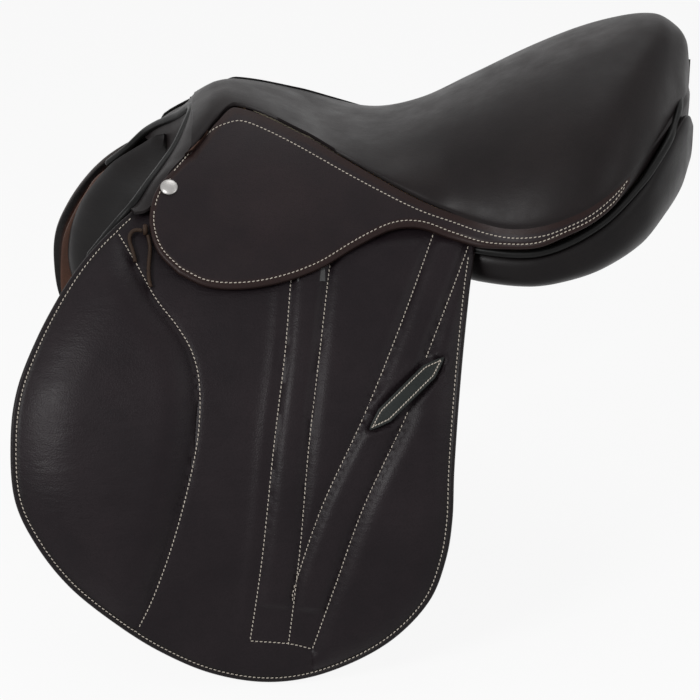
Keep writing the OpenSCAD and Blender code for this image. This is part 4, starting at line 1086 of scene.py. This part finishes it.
def blob(edge, r, rows=44, cols=72):
    """Rings of a flat outline drawn in towards its middle, from the edge inwards: grids of x and a."""
    line = evenly(smooth(np.vstack([edge, edge[:1]]), 8), cols + 1)[:-1]
    ring = flat(r, line)
    mid = ring.mean(axis=0)
    f = (1 - np.linspace(0, 1, rows) ** 1.5)[:, None, None]
    grid = mid + (ring - mid)[None] * f
    return grid[..., 0], grid[..., 1]


def pad_skin(side, s):
    """Stuffed front of the panel: flat against the sweat flap, swollen towards the horse by up to 15 mm."""
    x, a = blob(PAD_EDGE, R_PAD)
    line = flat(R_PAD, smooth(np.vstack([PAD_EDGE, PAD_EDGE[:1]]), 8))
    d = away(x, a, line)
    deep = -PAD_SWELL * np.sqrt(np.maximum(1 - (1 - np.clip(d / 24, 0, 1)) ** 2, 0)) - 0.2
    outer = on_side(R_PAD, x, a, 0 * x - 0.2 + round_over(d, 1), s)
    inner = on_side(R_PAD, x, a, deep, s)
    n, m = x.shape
    verts = np.vstack([inner.reshape(-1, 3), outer.reshape(-1, 3)])
    quads = ring_cells(n, m)
    j = np.arange(m)
    wall = np.stack([j, (j + 1) % m, (j + 1) % m + n * m, j + n * m], axis=1)
    piece = mesh_piece("front_pad_skin_" + side, verts, np.vstack([quads, quads + n * m, wall]).tolist())
    sew_on(piece, "root", "leather_panel", PANEL_LEATHER, "front_pad_" + side)


def inset(a):
    """How far the sweat flap's front edge is drawn in behind the flap's."""
    return 3.0 + 9.0 * dent(height(R_SWEAT, a) + 50, 95)


def sweat_skin(side, s):
    """Sweat flap: a plain sheet with rounded edges."""
    edge = flat(R_SWEAT, smooth(SWEAT_EDGE, 10))
    top, low = arc(R_SWEAT, 61.0), edge[:, 1].min() + 0.05
    a = top + (low - top) * (1 - (1 - np.linspace(0, 1, 110)) ** 1.35)
    bottom = np.argmin(edge[:, 1])
    front = np.interp(a, edge[:bottom + 1, 1][::-1], edge[:bottom + 1, 0][::-1]) + inset(a)
    back = np.vstack([edge[bottom:], flat(R_SWEAT, [(-24, 60), (-30, 61.5)])])
    rear = np.interp(a, back[:, 1], back[:, 0])
    u = 0.5 - 0.5 * np.cos(np.pi * np.linspace(0, 1, 90))
    u = 0.6 * u + 0.4 * np.linspace(0, 1, 90)
    x = front[:, None] + (rear - front)[:, None] * u[None]
    aa = np.broadcast_to(a[:, None], x.shape)
    sides = np.minimum(x - front[:, None], rear[:, None] - x) * 0.9 + 0.01
    d = np.minimum(np.minimum(away(x, aa, edge + [30.0, 0]) + 20, sides), aa - low)
    outer, inner = (on_side(R_SWEAT, x, aa, h, s) for h in (round_over(d, 1.2), -5.0 - round_over(d, 1.2)))
    sew_on(shell("sweat_skin_" + side, outer, inner), "root", "leather_brown", LINING, "sweat_flap_" + side)


for side, s in SIDES:
    sweat_skin(side, s)
    pad_skin(side, s)

# ---------------------------------------------------------------- rear panels
PANEL_FRONT, PANEL_REAR = -118.0, 237.6
CHANNEL_HALF = 34.0


def panel_skin(side, s):
    """Panel: rings of a rounded box, |c|^0.8 and |s|^0.8, squarer under the roll, that swell from the channel
    to the outer edge."""
    f = np.linspace(0, 1, 110)
    x = PANEL_FRONT + (PANEL_REAR - PANEL_FRONT) * np.sin(np.pi / 2 * f**0.9)
    ang = np.linspace(0, 2 * np.pi, 64, endpoint=False)
    c, q = np.cos(ang), np.sin(ang)
    power = np.where((c > 0) & (q > 0), 0.5, 0.8)
    cw, sz = np.sign(c) * np.abs(c) ** power, np.sign(q) * np.abs(q) ** power
    out, lo, hi = (along(t, x)[:, None] for t in (PANEL_OUT, PANEL_LOW, PANEL_HIGH))
    a, w, b = (out - CHANNEL_HALF) / 2, (out + CHANNEL_HALF) / 2, (hi - lo) / 2
    z = (hi + lo) / 2 + b * sz + 0.06 * a * (1 - cw) + along(PANEL_TILT, x)[:, None] * cw
    rings = np.stack(np.broadcast_arrays(x[:, None], s * (w + a * cw), z), axis=-1)
    piece = closed_loft("panel_skin_" + side, rings)
    sew_on(piece, "root", "leather_panel", PANEL_LEATHER, "panel_" + side)


def panel_piping(side, s):
    """Roll along the upper outer edge of the rear of the panel."""
    x = np.linspace(40, 203, 90)
    f = along(PANEL_TILT, x) / 9
    path = np.stack([x, s * (along(PANEL_OUT, x) - 1 - 4 * f), along(PANEL_HIGH, x) - 1.0 + 7.6 * f], axis=1)
    rear = [(211, s * 86, 108.5), (219, s * 66, 117), (224.5, s * 50, 124.5), (227, s * 37, 128)]
    path = evenly(smooth(np.vstack([path[::6], rear]), 8), 130)
    sew_on(tube("panel_piping_" + side, path, 3.2, 12), "root", "piping", PIPING, "panel_roll_" + side)


for side, s in SIDES:
    panel_skin(side, s)
    panel_piping(side, s)

# ---------------------------------------------------------------- finishes of the frame's own pieces
FINISHES = ((WOOD, ("tree_cantle", "tree_head", "tree_rail")),
            (WEB, ("seat_web", "cross_web", "billet_webs")),
            (STEEL, ("head_plate", "gullet_plate", "tree_spring", "stirrup_bar", "bar_rivets", "bar_catch",
                     "catch_pin")),
            (FOAM, ("seat_foam",)), (NICKEL, ("saddle_nail",)), (TAB, ("size_tab",)),
            (STRAP_LEATHER, ("billet_front", "billet_rear", "lace_knot")))
for name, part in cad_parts.items():
    for finish, kinds in FINISHES:
        if name.replace("_left", "").replace("_right", "") in kinds:
            paint(part, finish)


# ---------------------------------------------------------------- floor and light
def backdrop(name, colour, glow):
    """Pale matt surface that also shows its own colour to the camera and in reflections."""
    mat, tree, mix = start_material(name, "ShaderNodeMixShader")[:3]
    matt = node(tree, "ShaderNodeBsdfDiffuse", Color=(*colour, 1))
    seen = node(tree, "ShaderNodeEmission", Color=(*colour, 1), Strength=1.0)
    share = spread(tree, seen_directly(tree), 0, 1, 0, glow)
    for socket, value in zip(mix.inputs, (share, matt.outputs[0], seen.outputs[0])):
        tree.links.new(value, socket)
    return mat


def lay_floor():
    """A wide flat floor just under the flaps."""
    size = 8.0
    z = CAD_BOX[0][2] - 0.004
    mesh = bpy.data.meshes.new("floor")
    corners = [(-size, -size, z), (size, -size, z), (size, size, z), (-size, size, z)]
    mesh.from_pydata(corners, [], [(0, 1, 2, 3)])
    mesh.materials.append(backdrop("pale_floor", (0.99, 0.99, 0.99), 0.92))
    add("floor", mesh)


def softbox(name, place, aim, size, power):
    """Square area lamp that faces a point."""
    lamp = bpy.data.lights.new(name, "AREA")
    lamp.size, lamp.energy = size, power
    box = add(name, lamp)
    box.location = place
    box.rotation_euler = (Vector(aim) - Vector(place)).to_track_quat("-Z", "Y").to_euler()


def light_studio():
    """Pale world, with a large key above the near side and two weaker fills."""
    world = bpy.data.worlds.new("studio")
    bpy.context.scene.world = world
    world.use_nodes = True
    tree = world.node_tree
    shade = tree.nodes["Background"]
    shade.inputs[0].default_value = (1, 1, 1, 1)
    tree.links.new(spread(tree, seen_directly(tree), 0, 1, 0.25, 1.0), shade.inputs[1])
    softbox("key", (-1.35, -1.6, 0.95), (-0.1, -0.15, 0.0), 0.6, 24)
    softbox("fill", (1.5, -1.3, 0.9), (0.0, -0.1, 0.0), 1.2, 6)
    softbox("top", (0.1, 0.5, 2.0), (0.0, 0.0, 0.1), 1.2, 9)


lay_floor()
light_studio()
bpy.context.scene.view_settings.view_transform = "Standard"
